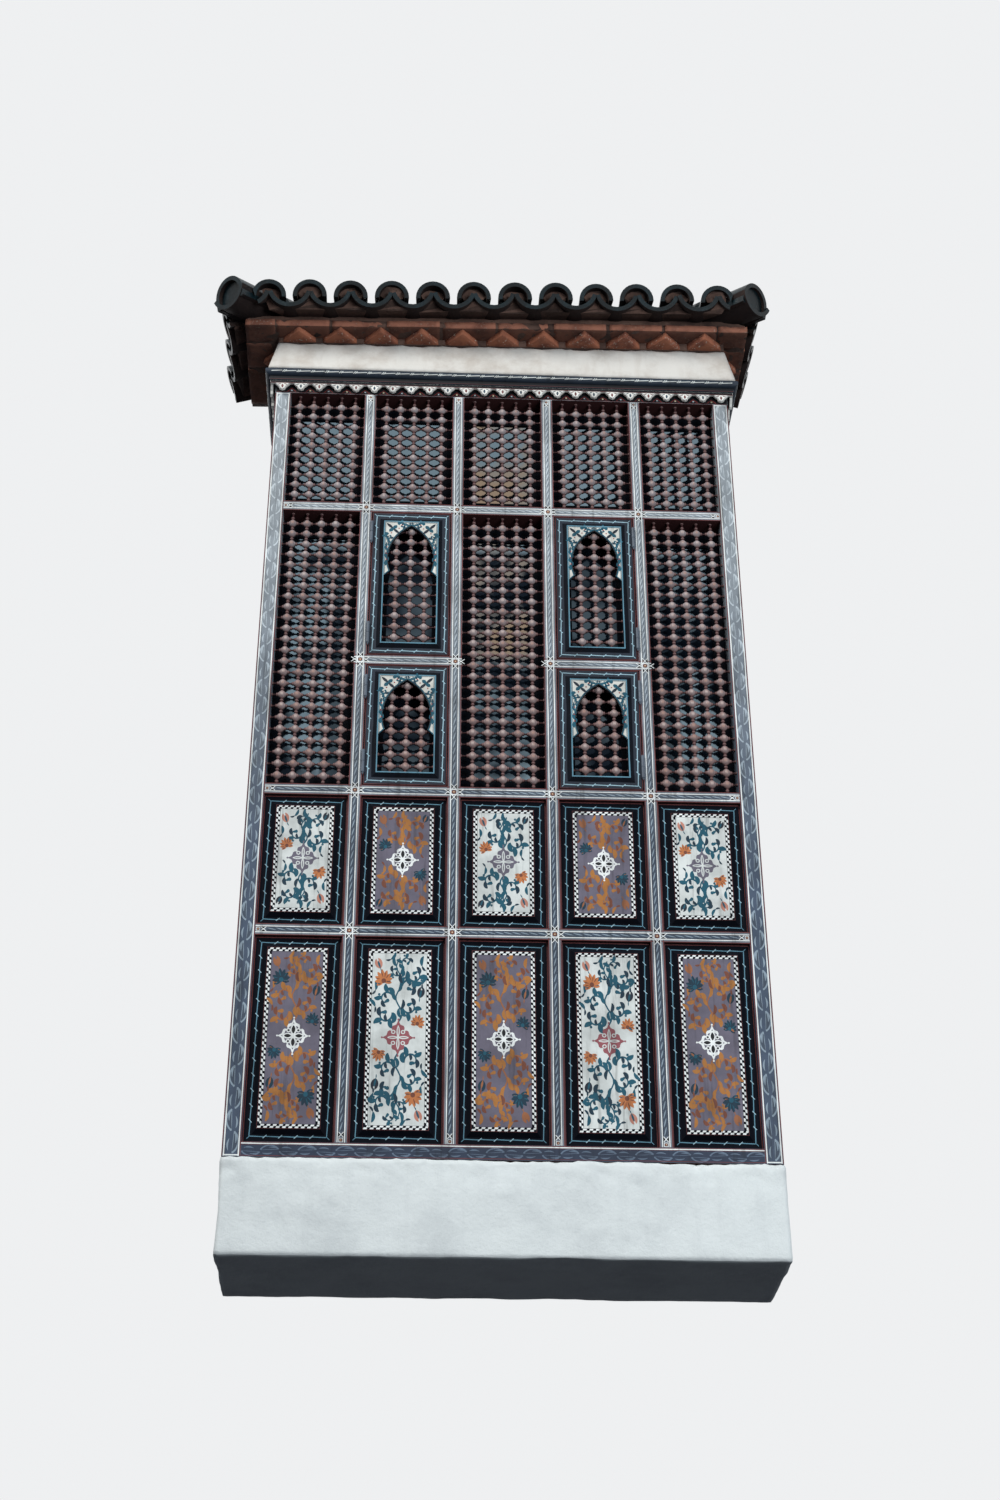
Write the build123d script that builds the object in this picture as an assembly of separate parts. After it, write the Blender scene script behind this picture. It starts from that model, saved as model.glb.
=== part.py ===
from build123d import *
import math
import os

# A mashrabiya screen: a shallow timber oriel that stands out from an upper storey.
# X runs along the wall, Y runs into the wall, Z is up, and the wall's face is y = 0.
# The origin is the centre of the base slab's back face. All sizes are in millimetres.

# Base slab
slab_height = 324.0
slab_side_lip = 6.0
slab_front_lip = 20.0
slab_arris = 14.0

# Timber bay
bay_width = 1782.0
bay_depth = 421.0
post_width = 60.0
frame_depth = 90.0
wall_post_width = 50.0
wall_post_depth = 60.0
column_count = 5
column_pitch = 345.0
muntin_width = 45.0
rail_height = 42.0
bottom_rail_height = 50.0
head_rail_height = 44.0
side_rail_thickness = 45.0

# Rows, from the top of the bottom rail upwards, to the middle of each rail
tall_panel_row = 746.0
short_panel_row = 544.0
lower_leaf_row = 547.0
upper_leaf_row = 692.0
top_row = 555.0

# Lattices of spindles, laid lapped: the cross bars in front of the upright ones.
# Balls sit at every row; a cross bar carries every second row.
upright_bar_width = 14.0
upright_bar_depth = 12.0
cross_bar_height = 10.0
cross_bar_depth = 10.0
spindle_pitch = 54.0
spindle_margin = 27.0
row_pitch = 48.0
row_margin = 30.0
rows_per_cross_bar = 2
lattice_setback = 16.0
glass_thickness = 4.0
glass_inset = 6.0

# Hinged leaves: a flat frame, a moulding that rises to a lip round the opening, an arched board
leaf_clearance = 3.0
leaf_thickness = 44.0
leaf_flat = 30.0
leaf_bevel = 14.0
leaf_lip = 5.0
leaf_raise = 9.0
board_thickness = 8.0
arch_side = 13.0
arch_rise = 150.0
arch_tail = 56.0
arch_crown = 18.0
arch_foot = 22.0
hinge_radius = 6.0
hinge_flat_count = 8
hinge_length = 90.0
hinge_plate_depth = 30.0
hinge_plate_length = 74.0
hinge_inset = 95.0

# Painted panels: a sunk margin, and a bevel that rises to the painted field
panel_setback = 1.0
panel_thickness = 26.0
panel_margin = 30.0
panel_bevel = 14.0
panel_raise = 14.0

# Valance and cornice
valance_thickness = 10.0
valance_front = 21.0
valance_height = 44.0
scallop_pitch = 72.0
scallop_width = 60.0
scallop_height = 32.0
scallop_lobe = 14.5
scallop_shoulder = 17.0
scallop_knee_width = 43.0
scallop_knee_drop = 10.5
scallop_flat_count = 4
soffit_thickness = 12.0
soffit_reach = 26.0
recess_height = 8.0
recess_reach = 14.0
moulding_height = 34.0
moulding_reach = 42.0

# Plaster band, brick courses and mortar bed
band_height = 164.0
band_bottom_reach = 36.0
band_top_reach = 4.0
brick_thickness = 37.0
brick_pitch = 162.0
tooth_reach = 62.0
tooth_half_width = 66.0
course_front_reach = 80.0
course_side_reach = 120.0
brick_offset = -20.0
masonry_tilt = 1.3
tilt_pivot_x = 300.0

# Roof of barrel tiles
roof_slope = 20.0
bed_setback = 16.0
bed_edge = 9.0
tile_pitch = 162.0
tile_overhang = 89.0
side_tile_overhang = 46.0
pan_side = 6.2
pan_depth = 56.0
tile_thickness = 10.0
cover_radius = 67.5
cover_foot = 6.0
tile_stack = 113.0
cover_flat_count = 6
pan_flat_count = 6
cover_count = 12
tile_offset = -36.0
hip_radius = 75.0
hip_rise = 20.0
hip_lead = -20.0
hip_gap = 86.0
hip_pan_length = 210.0

# Levels
slab_top = slab_height / 2
bottom_rail_top = slab_top + bottom_rail_height
panel_rail_z = bottom_rail_top + tall_panel_row
lattice_rail_z = panel_rail_z + short_panel_row
leaf_rail_z = lattice_rail_z + lower_leaf_row
upper_rail_z = leaf_rail_z + upper_leaf_row
head_z = upper_rail_z + top_row
ceiling_z = head_z + head_rail_height
band_z = ceiling_z + soffit_thickness + recess_height + moulding_height
teeth_z = band_z + band_height
course_z = teeth_z + brick_thickness
bed_z = course_z + brick_thickness

# Plan
front_y = -bay_depth
half_width = bay_width / 2
muntin_x = [column_pitch * (i - column_count / 2) for i in range(1, column_count)]
column_left = [-half_width + post_width] + [x + muntin_width / 2 for x in muntin_x]
column_right = [x - muntin_width / 2 for x in muntin_x] + [half_width - post_width]
columns = list(zip(column_left, column_right))
leaf_columns = [1, 3]
lattice_columns = [0, 2, 4]
side_front_y = front_y + frame_depth
side_back_y = -wall_post_depth

# Width of a leaf's stiles and rails, with their moulding
stile_width = leaf_flat + leaf_bevel + leaf_lip

# Openings between rails, bottom and top
tall_panel_span = (bottom_rail_top, panel_rail_z - rail_height / 2)
short_panel_span = (panel_rail_z + rail_height / 2, lattice_rail_z - rail_height / 2)
tall_lattice_span = (lattice_rail_z + rail_height / 2, upper_rail_z - rail_height / 2)
lower_leaf_span = (lattice_rail_z + rail_height / 2, leaf_rail_z - rail_height / 2)
upper_leaf_span = (leaf_rail_z + rail_height / 2, upper_rail_z - rail_height / 2)
top_span = (upper_rail_z + rail_height / 2, head_z)


def block(x0, x1, y0, y1, z0, z1):
    """A box from its lowest to its highest corner."""
    place = Pos((x0 + x1) / 2, (y0 + y1) / 2, (z0 + z1) / 2)
    return place * Box(x1 - x0, y1 - y0, z1 - z0)


def group(solids):
    """Like pieces of one node, as solids that do not overlap."""
    found = []
    for shape in solids:
        found.extend(shape.solids())
    return Compound(found)


def front_place(column, span, setback):
    """Where a piece made about x = 0, z = 0 goes in one opening of the front."""
    left, right = columns[column]
    return Pos((left + right) / 2, front_y + setback, span[0])


def side_place(side, span, setback):
    """The same for one opening of a side; side is -1 on the left and 1 on the right."""
    middle = (side_front_y + side_back_y) / 2
    outer = side * (half_width - setback)
    return Pos(outer, middle, span[0]) * Rot(0, 0, side * 90)


def column_width(column):
    left, right = columns[column]
    return right - left


side_width = side_back_y - side_front_y


def span_height(span):
    return span[1] - span[0]


def base_slab():
    slab = block(
        -half_width - slab_side_lip,
        half_width + slab_side_lip,
        front_y - slab_front_lip,
        0,
        -slab_height / 2,
        slab_top,
    )
    free_edges = slab.edges().filter_by(lambda edge: edge.center().Y < -slab_arris)
    return chamfer(free_edges, slab_arris)


def corner_post(side):
    inner, outer = half_width - post_width, half_width
    low, high = sorted((side * inner, side * outer))
    return block(low, high, front_y, side_front_y, slab_top, head_z)


def wall_post(side):
    inner, outer = half_width - wall_post_width, half_width
    low, high = sorted((side * inner, side * outer))
    return block(low, high, side_back_y, 0, slab_top, head_z)


def muntins():
    return group([
        block(x - muntin_width / 2, x + muntin_width / 2, front_y, side_front_y, bottom_rail_top, head_z)
        for x in muntin_x
    ])


def bottom_rail():
    inner = half_width - post_width
    return block(-inner, inner, front_y, side_front_y, slab_top, bottom_rail_top)


def front_rails(level, which):
    """Rails of one level, between posts and muntins, in the columns that have them."""
    low, high = level - rail_height / 2, level + rail_height / 2
    return group([block(*columns[i], front_y, side_front_y, low, high) for i in which])


def head_rail():
    return block(-half_width, half_width, front_y, side_front_y, head_z, ceiling_z)


def side_rails():
    """On each side a bottom rail, a rail at each level but the leaves', and a head rail."""
    spans = [(slab_top, bottom_rail_top), (head_z, ceiling_z)]
    for level in (panel_rail_z, lattice_rail_z, upper_rail_z):
        spans.append((level - rail_height / 2, level + rail_height / 2))
    solids = []
    for side in (-1, 1):
        low, high = sorted((side * (half_width - side_rail_thickness), side * half_width))
        for bottom, top in spans:
            back = 0 if bottom == head_z else side_back_y
            solids.append(block(low, high, side_front_y, back, bottom, top))
    return group(solids)


def arc_points(half_width, half_height, start, end, flats):
    """Points along an arc about the origin; arcs that repeat many times are drawn as flats."""
    angles = [start + (end - start) * i / flats for i in range(flats + 1)]
    return [(half_width * math.cos(a), half_height * math.sin(a)) for a in angles]


def even_places(length, pitch, margin):
    """Centred places at one pitch, none nearer than the margin to either end."""
    steps = int((length - 2 * margin) // pitch)
    return [pitch * (i - steps / 2) for i in range(steps + 1)]


def lattice(width, height):
    """Lapped bars about x = 0 from z = 0, fused where they cross; front face at y = 0."""
    back = cross_bar_depth + upright_bar_depth
    bars = []
    for x in even_places(width, spindle_pitch, spindle_margin):
        left, right = x - upright_bar_width / 2, x + upright_bar_width / 2
        bars.append(block(left, right, cross_bar_depth, back, 0, height))
    for z in even_places(height, row_pitch, row_margin)[::rows_per_cross_bar]:
        low, high = height / 2 + z - cross_bar_height / 2, height / 2 + z + cross_bar_height / 2
        bars.append(block(-width / 2, width / 2, 0, cross_bar_depth, low, high))
    return bars[0].fuse(*bars[1:])


def front_lattice(column, span):
    shape = lattice(column_width(column), span_height(span))
    return front_place(column, span, lattice_setback) * shape


def side_lattices():
    solids = []
    for span in (tall_lattice_span, top_span):
        shape = lattice(side_width, span_height(span))
        solids += [side_place(side, span, lattice_setback) * shape for side in (-1, 1)]
    return group(solids)


def leaf_size(column, span):
    return column_width(column) - 2 * leaf_clearance, span_height(span) - 2 * leaf_clearance


def raised_block(width, height, base_y, rise, bevel):
    """A flat-topped block about x = 0, z = 0 that rises towards -Y between bevels."""
    face = Plane(origin=(0, base_y, 0), x_dir=(1, 0, 0), z_dir=(0, -1, 0))
    return extrude(face * Rectangle(width, height), rise, taper=math.degrees(math.atan(bevel / rise)))


def leaf_frame(column, span):
    """Stiles and rails of one leaf as one joined frame, with the moulding round its opening."""
    width, height = leaf_size(column, span)
    inner_width, inner_height = width - 2 * stile_width, height - 2 * stile_width
    frame = block(-width / 2, width / 2, 0, leaf_thickness, 0, height)
    rise = raised_block(width - 2 * leaf_flat, height - 2 * leaf_flat, 0, leaf_raise, leaf_bevel)
    opening = block(
        -inner_width / 2,
        inner_width / 2,
        -leaf_raise,
        leaf_thickness,
        stile_width,
        stile_width + inner_height,
    )
    place = front_place(column, span, 0) * Pos(0, 0, leaf_clearance)
    return place * (frame + Pos(0, 0, height / 2) * rise - opening)


def spandrel_board(column, span):
    """A board over a pointed horseshoe arch, seated in the leaf's opening at its top."""
    width, height = leaf_size(column, span)
    half = width / 2 - stile_width
    arch_half = half - arch_side
    arch_radius = (arch_half + arch_rise**2 / arch_half) / 2
    centre_x = arch_radius - arch_half
    tail_x = math.sqrt(arch_radius**2 - arch_tail**2) - centre_x
    apex_z = -arch_crown
    centre_z = apex_z - arch_rise
    tail_z = centre_z - arch_tail
    start = math.atan2(arch_rise, centre_x)
    middle = (start - math.asin(arch_tail / arch_radius)) / 2
    side_x = arch_radius * math.cos(middle) - centre_x
    side_z = centre_z + arch_radius * math.sin(middle)
    foot_z = tail_z - arch_foot
    outline = [
        Polyline((-tail_x, tail_z), (-half, foot_z), (-half, 0), (half, 0), (half, foot_z), (tail_x, tail_z)),
        ThreePointArc((tail_x, tail_z), (side_x, side_z), (0, apex_z)),
        ThreePointArc((0, apex_z), (-side_x, side_z), (-tail_x, tail_z)),
    ]
    sheet = make_face(outline)
    board = extrude(Plane.XZ * sheet, -board_thickness)
    place = front_place(column, span, -leaf_raise) * Pos(0, 0, leaf_clearance + height - stile_width)
    return place * board


def leaf_lattice(column, span):
    width, height = leaf_size(column, span)
    shape = lattice(width - 2 * stile_width, height - 2 * stile_width)
    lift = leaf_clearance + stile_width
    return front_place(column, span, board_thickness - leaf_raise) * Pos(0, 0, lift) * shape


def hinge(column, level):
    """A barrel that stands proud of the leaf's outer edge, with its plates in the gap."""
    left, right = columns[column]
    outward = -1 if column < len(columns) // 2 else 1
    jamb = left if outward < 0 else right
    gap_x = jamb - outward * leaf_clearance / 2
    barrel_y = front_y - hinge_radius
    section = Plane(origin=(gap_x, barrel_y, level)) * RegularPolygon(hinge_radius, hinge_flat_count)
    barrel = extrude(section, hinge_length / 2, both=True)
    plate = block(
        gap_x - leaf_clearance / 2,
        gap_x + leaf_clearance / 2,
        barrel_y,
        front_y + hinge_plate_depth,
        level - hinge_plate_length / 2,
        level + hinge_plate_length / 2,
    )
    return barrel + plate


def leaf_hinges(column):
    levels = []
    for span in (lower_leaf_span, upper_leaf_span):
        levels += [span[0] + hinge_inset, span[1] - hinge_inset]
    return group([hinge(column, level) for level in levels])


def panel(width, height):
    """One painted panel: a field raised from a sunk margin, its front at y = 0."""
    slab = block(-width / 2, width / 2, panel_raise, panel_thickness, 0, height)
    field_width, field_height = width - 2 * panel_margin, height - 2 * panel_margin
    field = raised_block(field_width, field_height, panel_raise, panel_raise, panel_bevel)
    return slab + Pos(0, 0, height / 2) * field


def front_panels(span):
    solids = []
    for column in range(len(columns)):
        shape = panel(column_width(column), span_height(span))
        solids.append(front_place(column, span, panel_setback) * shape)
    return group(solids)


def side_panels():
    solids = []
    for span in (tall_panel_span, short_panel_span):
        shape = panel(side_width, span_height(span))
        solids += [side_place(side, span, panel_setback) * shape for side in (-1, 1)]
    return group(solids)


def front_glass():
    """A pane behind each lattice, seated between posts, muntins and rails."""
    back = side_front_y - glass_inset
    spans = {i: [tall_lattice_span, top_span] for i in lattice_columns}
    spans.update({i: [lower_leaf_span, upper_leaf_span, top_span] for i in leaf_columns})
    solids = []
    for column, its_spans in sorted(spans.items()):
        for low, high in its_spans:
            solids.append(block(*columns[column], back - glass_thickness, back, low, high))
    return group(solids)


def side_glass():
    solids = []
    for span in (tall_lattice_span, top_span):
        inner = half_width - side_rail_thickness
        for side in (-1, 1):
            low, high = sorted((side * inner, side * (inner + glass_thickness)))
            solids.append(block(low, high, side_front_y, side_back_y, *span))
    return group(solids)


def scallop_edge(x):
    """The lower edge of one scallop from left to right: a round lobe between two bent shoulders."""
    top = -(valance_height - scallop_height)
    knee = top - scallop_knee_drop
    lobe_z = top - scallop_shoulder
    lobe_drop = scallop_height - scallop_shoulder
    half, half_knee = scallop_width / 2, scallop_knee_width / 2
    arc = arc_points(scallop_lobe, lobe_drop, math.pi, 2 * math.pi, scallop_flat_count)
    lobe = [(x + arc_x, lobe_z + arc_z) for arc_x, arc_z in arc]
    return [(x - half, top), (x - half_knee, knee), *lobe, (x + half_knee, knee), (x + half, top)]


def valance_board(length):
    """A board about x = 0, its top at z = 0 and its front at y = 0, scalloped below."""
    top = -(valance_height - scallop_height)
    points = [(-length / 2, 0), (-length / 2, top)]
    for x in even_places(length, scallop_pitch, scallop_pitch / 2):
        points += scallop_edge(x)
    points += [(length / 2, top), (length / 2, 0)]
    return extrude(Plane.XZ * make_face(Polyline(*points, close=True)), -valance_thickness)


def front_valance():
    length = 2 * (half_width + valance_front)
    return Pos(0, front_y - valance_front, ceiling_z) * valance_board(length)


def side_valances():
    length = bay_depth + valance_front - valance_thickness
    board = valance_board(length)
    middle = -length / 2
    return group([
        Pos(side * (half_width + valance_front), middle, ceiling_z) * Rot(0, 0, side * 90) * board
        for side in (-1, 1)
    ])


def cornice_profile():
    """Section of the cornice, outwards from the timber's face and up from the ceiling level."""
    top = soffit_thickness + recess_height
    end = top + moulding_height
    nose = moulding_reach - moulding_height / 2
    return make_face([
        Polyline(
            (nose, end), (0, end), (0, 0), (soffit_reach, 0), (soffit_reach, soffit_thickness),
            (recess_reach, soffit_thickness), (recess_reach, top), (nose, top),
        ),
        ThreePointArc((nose, top), (moulding_reach, (top + end) / 2), (nose, end)),
    ])


def cornice_run(start, end, outward):
    """The section drawn along a straight run, from the timber's face outwards."""
    along = Vector(*end) - Vector(*start)
    plane = Plane(origin=start, x_dir=outward, z_dir=along.normalized())
    sheet = plane * cornice_profile()
    return extrude(sheet, along.length)


def corner_plane(side, x, y):
    """The upright plane through a corner at 45 degrees; its upper side faces the front run."""
    return Plane(origin=(x, y, 0), z_dir=(-side, -1, 0))


def front_cornice():
    over = moulding_reach
    run = cornice_run(
        (half_width + over, front_y, ceiling_z), (-half_width - over, front_y, ceiling_z), (0, -1, 0)
    )
    for side in (-1, 1):
        run = split(run, bisect_by=corner_plane(side, side * half_width, front_y), keep=Keep.TOP)
    return run


def side_cornices():
    back_left = (-half_width, 0, ceiling_z)
    back_right = (half_width, 0, ceiling_z)
    over = front_y - moulding_reach
    left = cornice_run((-half_width, over, ceiling_z), back_left, (-1, 0, 0))
    right = cornice_run(back_right, (half_width, over, ceiling_z), (1, 0, 0))
    solids = []
    for side, run in ((-1, left), (1, right)):
        mitre = corner_plane(side, side * half_width, front_y)
        solids.append(split(run, bisect_by=mitre, keep=Keep.BOTTOM))
    return group(solids)


def ceiling_board():
    """The deck over the bay, inside the cornice, that carries the masonry above."""
    return block(-half_width, half_width, front_y, 0, ceiling_z, band_z)


def plan_rectangle(reach, level):
    """A rectangle from the wall to a reach beyond the timber on the other three sides."""
    width, depth = 2 * (half_width + reach), bay_depth + reach
    return Plane(origin=(0, -depth / 2, level)) * Rectangle(width, depth)


def tilted(shape):
    """The masonry above the band settled to the left, so all of it leans by one angle."""
    pivot = Pos(tilt_pivot_x, 0, teeth_z)
    return pivot * Rot(0, -masonry_tilt, 0) * pivot.inverse() * shape


def plaster_band():
    """The flared band of plaster; its top follows the lean of the bricks on it."""
    spare = band_height / 2
    flare = (band_bottom_reach - band_top_reach) / band_height
    bottom = plan_rectangle(band_bottom_reach, band_z)
    top = plan_rectangle(band_top_reach - flare * spare, teeth_z + spare)
    seat = Plane(origin=(tilt_pivot_x, 0, teeth_z)).rotated((0, -masonry_tilt, 0))
    return split(loft([bottom, top]), bisect_by=seat, keep=Keep.BOTTOM)


def dogtooth_course():
    """Bricks laid at 45 degrees: a core under the flat course with a row of points."""
    core = half_width + band_top_reach
    front = front_y - band_top_reach
    outline = Rectangle(2 * core, -front)
    outline = Pos(0, front / 2) * outline
    for x in even_places(2 * core, brick_pitch, tooth_half_width):
        outline += Pos(x, front) * make_face(
            Polyline((-tooth_half_width, 0), (0, -tooth_reach), (tooth_half_width, 0), close=True)
        )
    for y in even_places(-front, brick_pitch, tooth_half_width):
        for side in (-1, 1):
            outline += Pos(side * core, front / 2 + y) * make_face(
                Polyline((0, -tooth_half_width), (side * tooth_reach, 0), (0, tooth_half_width), close=True)
            )
    return tilted(extrude(Pos(0, 0, teeth_z) * outline, brick_thickness))


def flat_course():
    reach = half_width + course_side_reach
    left, right = brick_offset - reach, brick_offset + reach
    return tilted(block(left, right, front_y - course_front_reach, 0, course_z, bed_z))


# The pan's arc, from its rims, one under each cover beside it, and its depth
pan_half_width = tile_pitch / 2 - pan_side
pan_radius = (pan_half_width**2 + pan_depth**2) / (2 * pan_depth)

# Plan of the roof: the eave where the pans end, and the same line at the bed's edge
slope = math.radians(roof_slope)
eave_run = tile_overhang * math.cos(slope)
eave_drop = side_tile_overhang * math.sin(slope)
eave_half = half_width + course_side_reach + side_tile_overhang * math.cos(slope)
eave_y = front_y - course_front_reach - eave_run
eave_z = bed_z + bed_edge - eave_drop
roof_rise = math.tan(slope)


def hip_corner(side):
    return tile_offset + side * eave_half, eave_y


def roof_body(level):
    """Solid under the three slopes of the roof, from a level up to the pans' undersides."""
    wide = 2 * eave_half
    ridge_z = eave_z - eave_y * roof_rise
    front = Polyline((eave_y, level), (eave_y, eave_z), (0, ridge_z), (0, level), close=True)
    front_prism = extrude(Plane.YZ.offset(tile_offset) * make_face(front), eave_half, both=True)
    peak_z = eave_z + eave_half * roof_rise
    sides = Polyline(
        (-eave_half, level), (-eave_half, eave_z), (0, peak_z), (eave_half, eave_z), (eave_half, level),
        close=True,
    )
    side_prism = Pos(tile_offset, 0, 0) * extrude(Plane.XZ * make_face(sides), wide, both=True)
    return front_prism & side_prism


def mortar_bed():
    reach = half_width + course_side_reach - bed_setback
    tall = block(
        brick_offset - reach, brick_offset + reach, front_y - course_front_reach + bed_setback, 0,
        bed_z, bed_z + bay_depth,
    )
    return tall & roof_body(bed_z)


def pan_section(x):
    """One channel tile, hollow upwards, its underside at height 0."""
    outer = pan_radius + tile_thickness
    angle = math.acos((pan_radius - pan_depth) / pan_radius)
    down = -math.pi / 2
    under = arc_points(outer, outer, down - angle, down + angle, pan_flat_count)
    upper = arc_points(pan_radius, pan_radius, down + angle, down - angle, pan_flat_count)
    return Pos(x, outer) * make_face(Polyline(*under, *upper, close=True))


def cover_section(x, radius, stack, foot):
    """One cover tile: a half round on straight legs down to its foot."""
    inner = radius - tile_thickness
    spring = stack - radius
    crown = arc_points(radius, radius, math.pi, 0, cover_flat_count)
    vault = arc_points(inner, inner, 0, math.pi, cover_flat_count)
    legs = [(radius, foot - spring), (inner, foot - spring)]
    far_legs = [(-inner, foot - spring), (-radius, foot - spring)]
    return Pos(x, spring) * make_face(Polyline(*crown, *legs, *vault, *far_legs, close=True))


def tile_field(length, covers):
    """Covers and channels of one slope as one sheet about x = 0, in section."""
    places = [tile_pitch * (i - (covers - 1) / 2) for i in range(covers)]
    sheet = pan_section(places[0] - tile_pitch / 2)
    for x in places:
        sheet += cover_section(x, cover_radius, tile_stack, cover_foot)
        sheet += pan_section(x + tile_pitch / 2)
    return extrude(sheet, -length)


def before_wall(shape):
    """What stands out from the wall's face."""
    return split(shape, bisect_by=Plane(origin=(0, 0, 0), z_dir=(0, -1, 0)), keep=Keep.TOP)


def slope_plane(corner, along, downhill):
    """Section plane at the eave: its x runs along the eave, its z runs out and down."""
    out = Vector(*downhill) * math.cos(slope) - Vector(0, 0, math.sin(slope))
    return Plane(origin=corner, x_dir=along, z_dir=out)


def hip_strip(side, inward):
    """The upright plane that ends a field of tiles beside the hip cover."""
    x, y = hip_corner(side)
    step = hip_gap * math.sqrt(2)
    if inward == "front":
        return Plane(origin=(x - side * step, y, 0), z_dir=(-side, -1, 0))
    return Plane(origin=(x, y + step, 0), z_dir=(-side, -1, 0))


def front_roof_tiles():
    plane = slope_plane((tile_offset, eave_y, eave_z), (1, 0, 0), (0, -1, 0))
    field = plane * tile_field(-eave_y / math.cos(slope) + tile_stack, cover_count)
    for side in (-1, 1):
        field = split(field, bisect_by=hip_strip(side, "front"), keep=Keep.TOP)
    return before_wall(field)


def side_roof_tiles(side):
    covers = int((-eave_y - hip_gap) // tile_pitch)
    middle = -(covers * tile_pitch) / 2
    corner = (tile_offset + side * eave_half, middle, eave_z)
    plane = slope_plane(corner, (0, side, 0), (side, 0, 0))
    field = plane * tile_field(-eave_y / math.cos(slope), covers)
    return before_wall(split(field, bisect_by=hip_strip(side, "side"), keep=Keep.BOTTOM))


def hip_cover(side):
    """The large cover over one hip, with a short channel under its mouth at the corner."""
    x, y = hip_corner(side)
    out = Vector(side, -1, 0).normalized()
    hip_slope = math.atan(roof_rise / math.sqrt(2))
    start = Vector(x, y, eave_z) + out * hip_lead - Vector(0, 0, hip_lead * math.tan(hip_slope))
    direction = out * math.cos(hip_slope) - Vector(0, 0, math.sin(hip_slope))
    plane = Plane(origin=start, x_dir=(1, side, 0), z_dir=direction)
    length = -eave_y * math.sqrt(2) / math.cos(hip_slope) + 2 * hip_radius
    cover = extrude(plane * cover_section(0, hip_radius, tile_stack + hip_rise, tile_thickness), -length)
    pan = extrude(plane * pan_section(0), -hip_pan_length)
    return before_wall(cover - roof_body(course_z)) + (pan - mortar_bed())


if __name__ == "__main__":
    os.makedirs("parts", exist_ok=True)
    front_columns = range(len(columns))
    nodes = {
        "base_slab": base_slab(),
        "left_corner_post": corner_post(-1),
        "right_corner_post": corner_post(1),
        "left_wall_post": wall_post(-1),
        "right_wall_post": wall_post(1),
        "muntins": muntins(),
        "bottom_rail": bottom_rail(),
        "panel_rails": front_rails(panel_rail_z, front_columns),
        "lattice_rails": front_rails(lattice_rail_z, front_columns),
        "leaf_rails": front_rails(leaf_rail_z, leaf_columns),
        "upper_rails": front_rails(upper_rail_z, front_columns),
        "head_rail": head_rail(),
        "side_rails": side_rails(),
        "top_lattices": group([front_lattice(i, top_span) for i in front_columns]),
        "left_tall_lattice": front_lattice(0, tall_lattice_span),
        "middle_tall_lattice": front_lattice(2, tall_lattice_span),
        "right_tall_lattice": front_lattice(4, tall_lattice_span),
        "side_lattices": side_lattices(),
        "short_panels": front_panels(short_panel_span),
        "tall_panels": front_panels(tall_panel_span),
        "side_panels": side_panels(),
        "front_glass": front_glass(),
        "side_glass": side_glass(),
        "front_valance": front_valance(),
        "side_valances": side_valances(),
        "front_cornice": front_cornice(),
        "side_cornices": side_cornices(),
        "ceiling_board": ceiling_board(),
        "plaster_band": plaster_band(),
        "dogtooth_course": dogtooth_course(),
        "flat_course": flat_course(),
        "mortar_bed": tilted(mortar_bed()),
        "front_roof_tiles": tilted(front_roof_tiles()),
        "left_roof_tiles": tilted(side_roof_tiles(-1)),
        "right_roof_tiles": tilted(side_roof_tiles(1)),
        "left_hip_cover": tilted(hip_cover(-1)),
        "right_hip_cover": tilted(hip_cover(1)),
    }
    leaf_spans = {"lower": lower_leaf_span, "upper": upper_leaf_span}
    leaf_sides = {"left": leaf_columns[0], "right": leaf_columns[1]}
    for height_name, span in leaf_spans.items():
        for side_name, column in leaf_sides.items():
            nodes[f"{height_name}_{side_name}_leaf"] = leaf_frame(column, span)
    pairs = [(column, span) for column in leaf_columns for span in leaf_spans.values()]
    nodes["spandrel_boards"] = group([spandrel_board(*pair) for pair in pairs])
    nodes["leaf_lattices"] = group([leaf_lattice(*pair) for pair in pairs])
    nodes["leaf_hinges"] = group([leaf_hinges(column) for column in leaf_columns])
    for name, shape in nodes.items():
        export_step(shape, f"parts/{name}.step")
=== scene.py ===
# %% [markdown]
# # A mashrabiya screen
# A mashrabiya is a window that stands out from an upper storey, closed by lattices of turned wood, so
# that air and some light come in while the street sees nothing of the room. The CAD part gives every
# timber, panel and brick at its true size. This lesson adds what a lathe, a painter and the weather add.
# It starts with the frame: one import gives all the CAD nodes at rest, in metres.
# %% Load the frame
import random
from math import acos, asin, atan, atan2, cos, hypot, pi, radians, sin, sqrt, tan

import bmesh
import bpy
import numpy as np
from mathutils import Matrix, Vector


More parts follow.
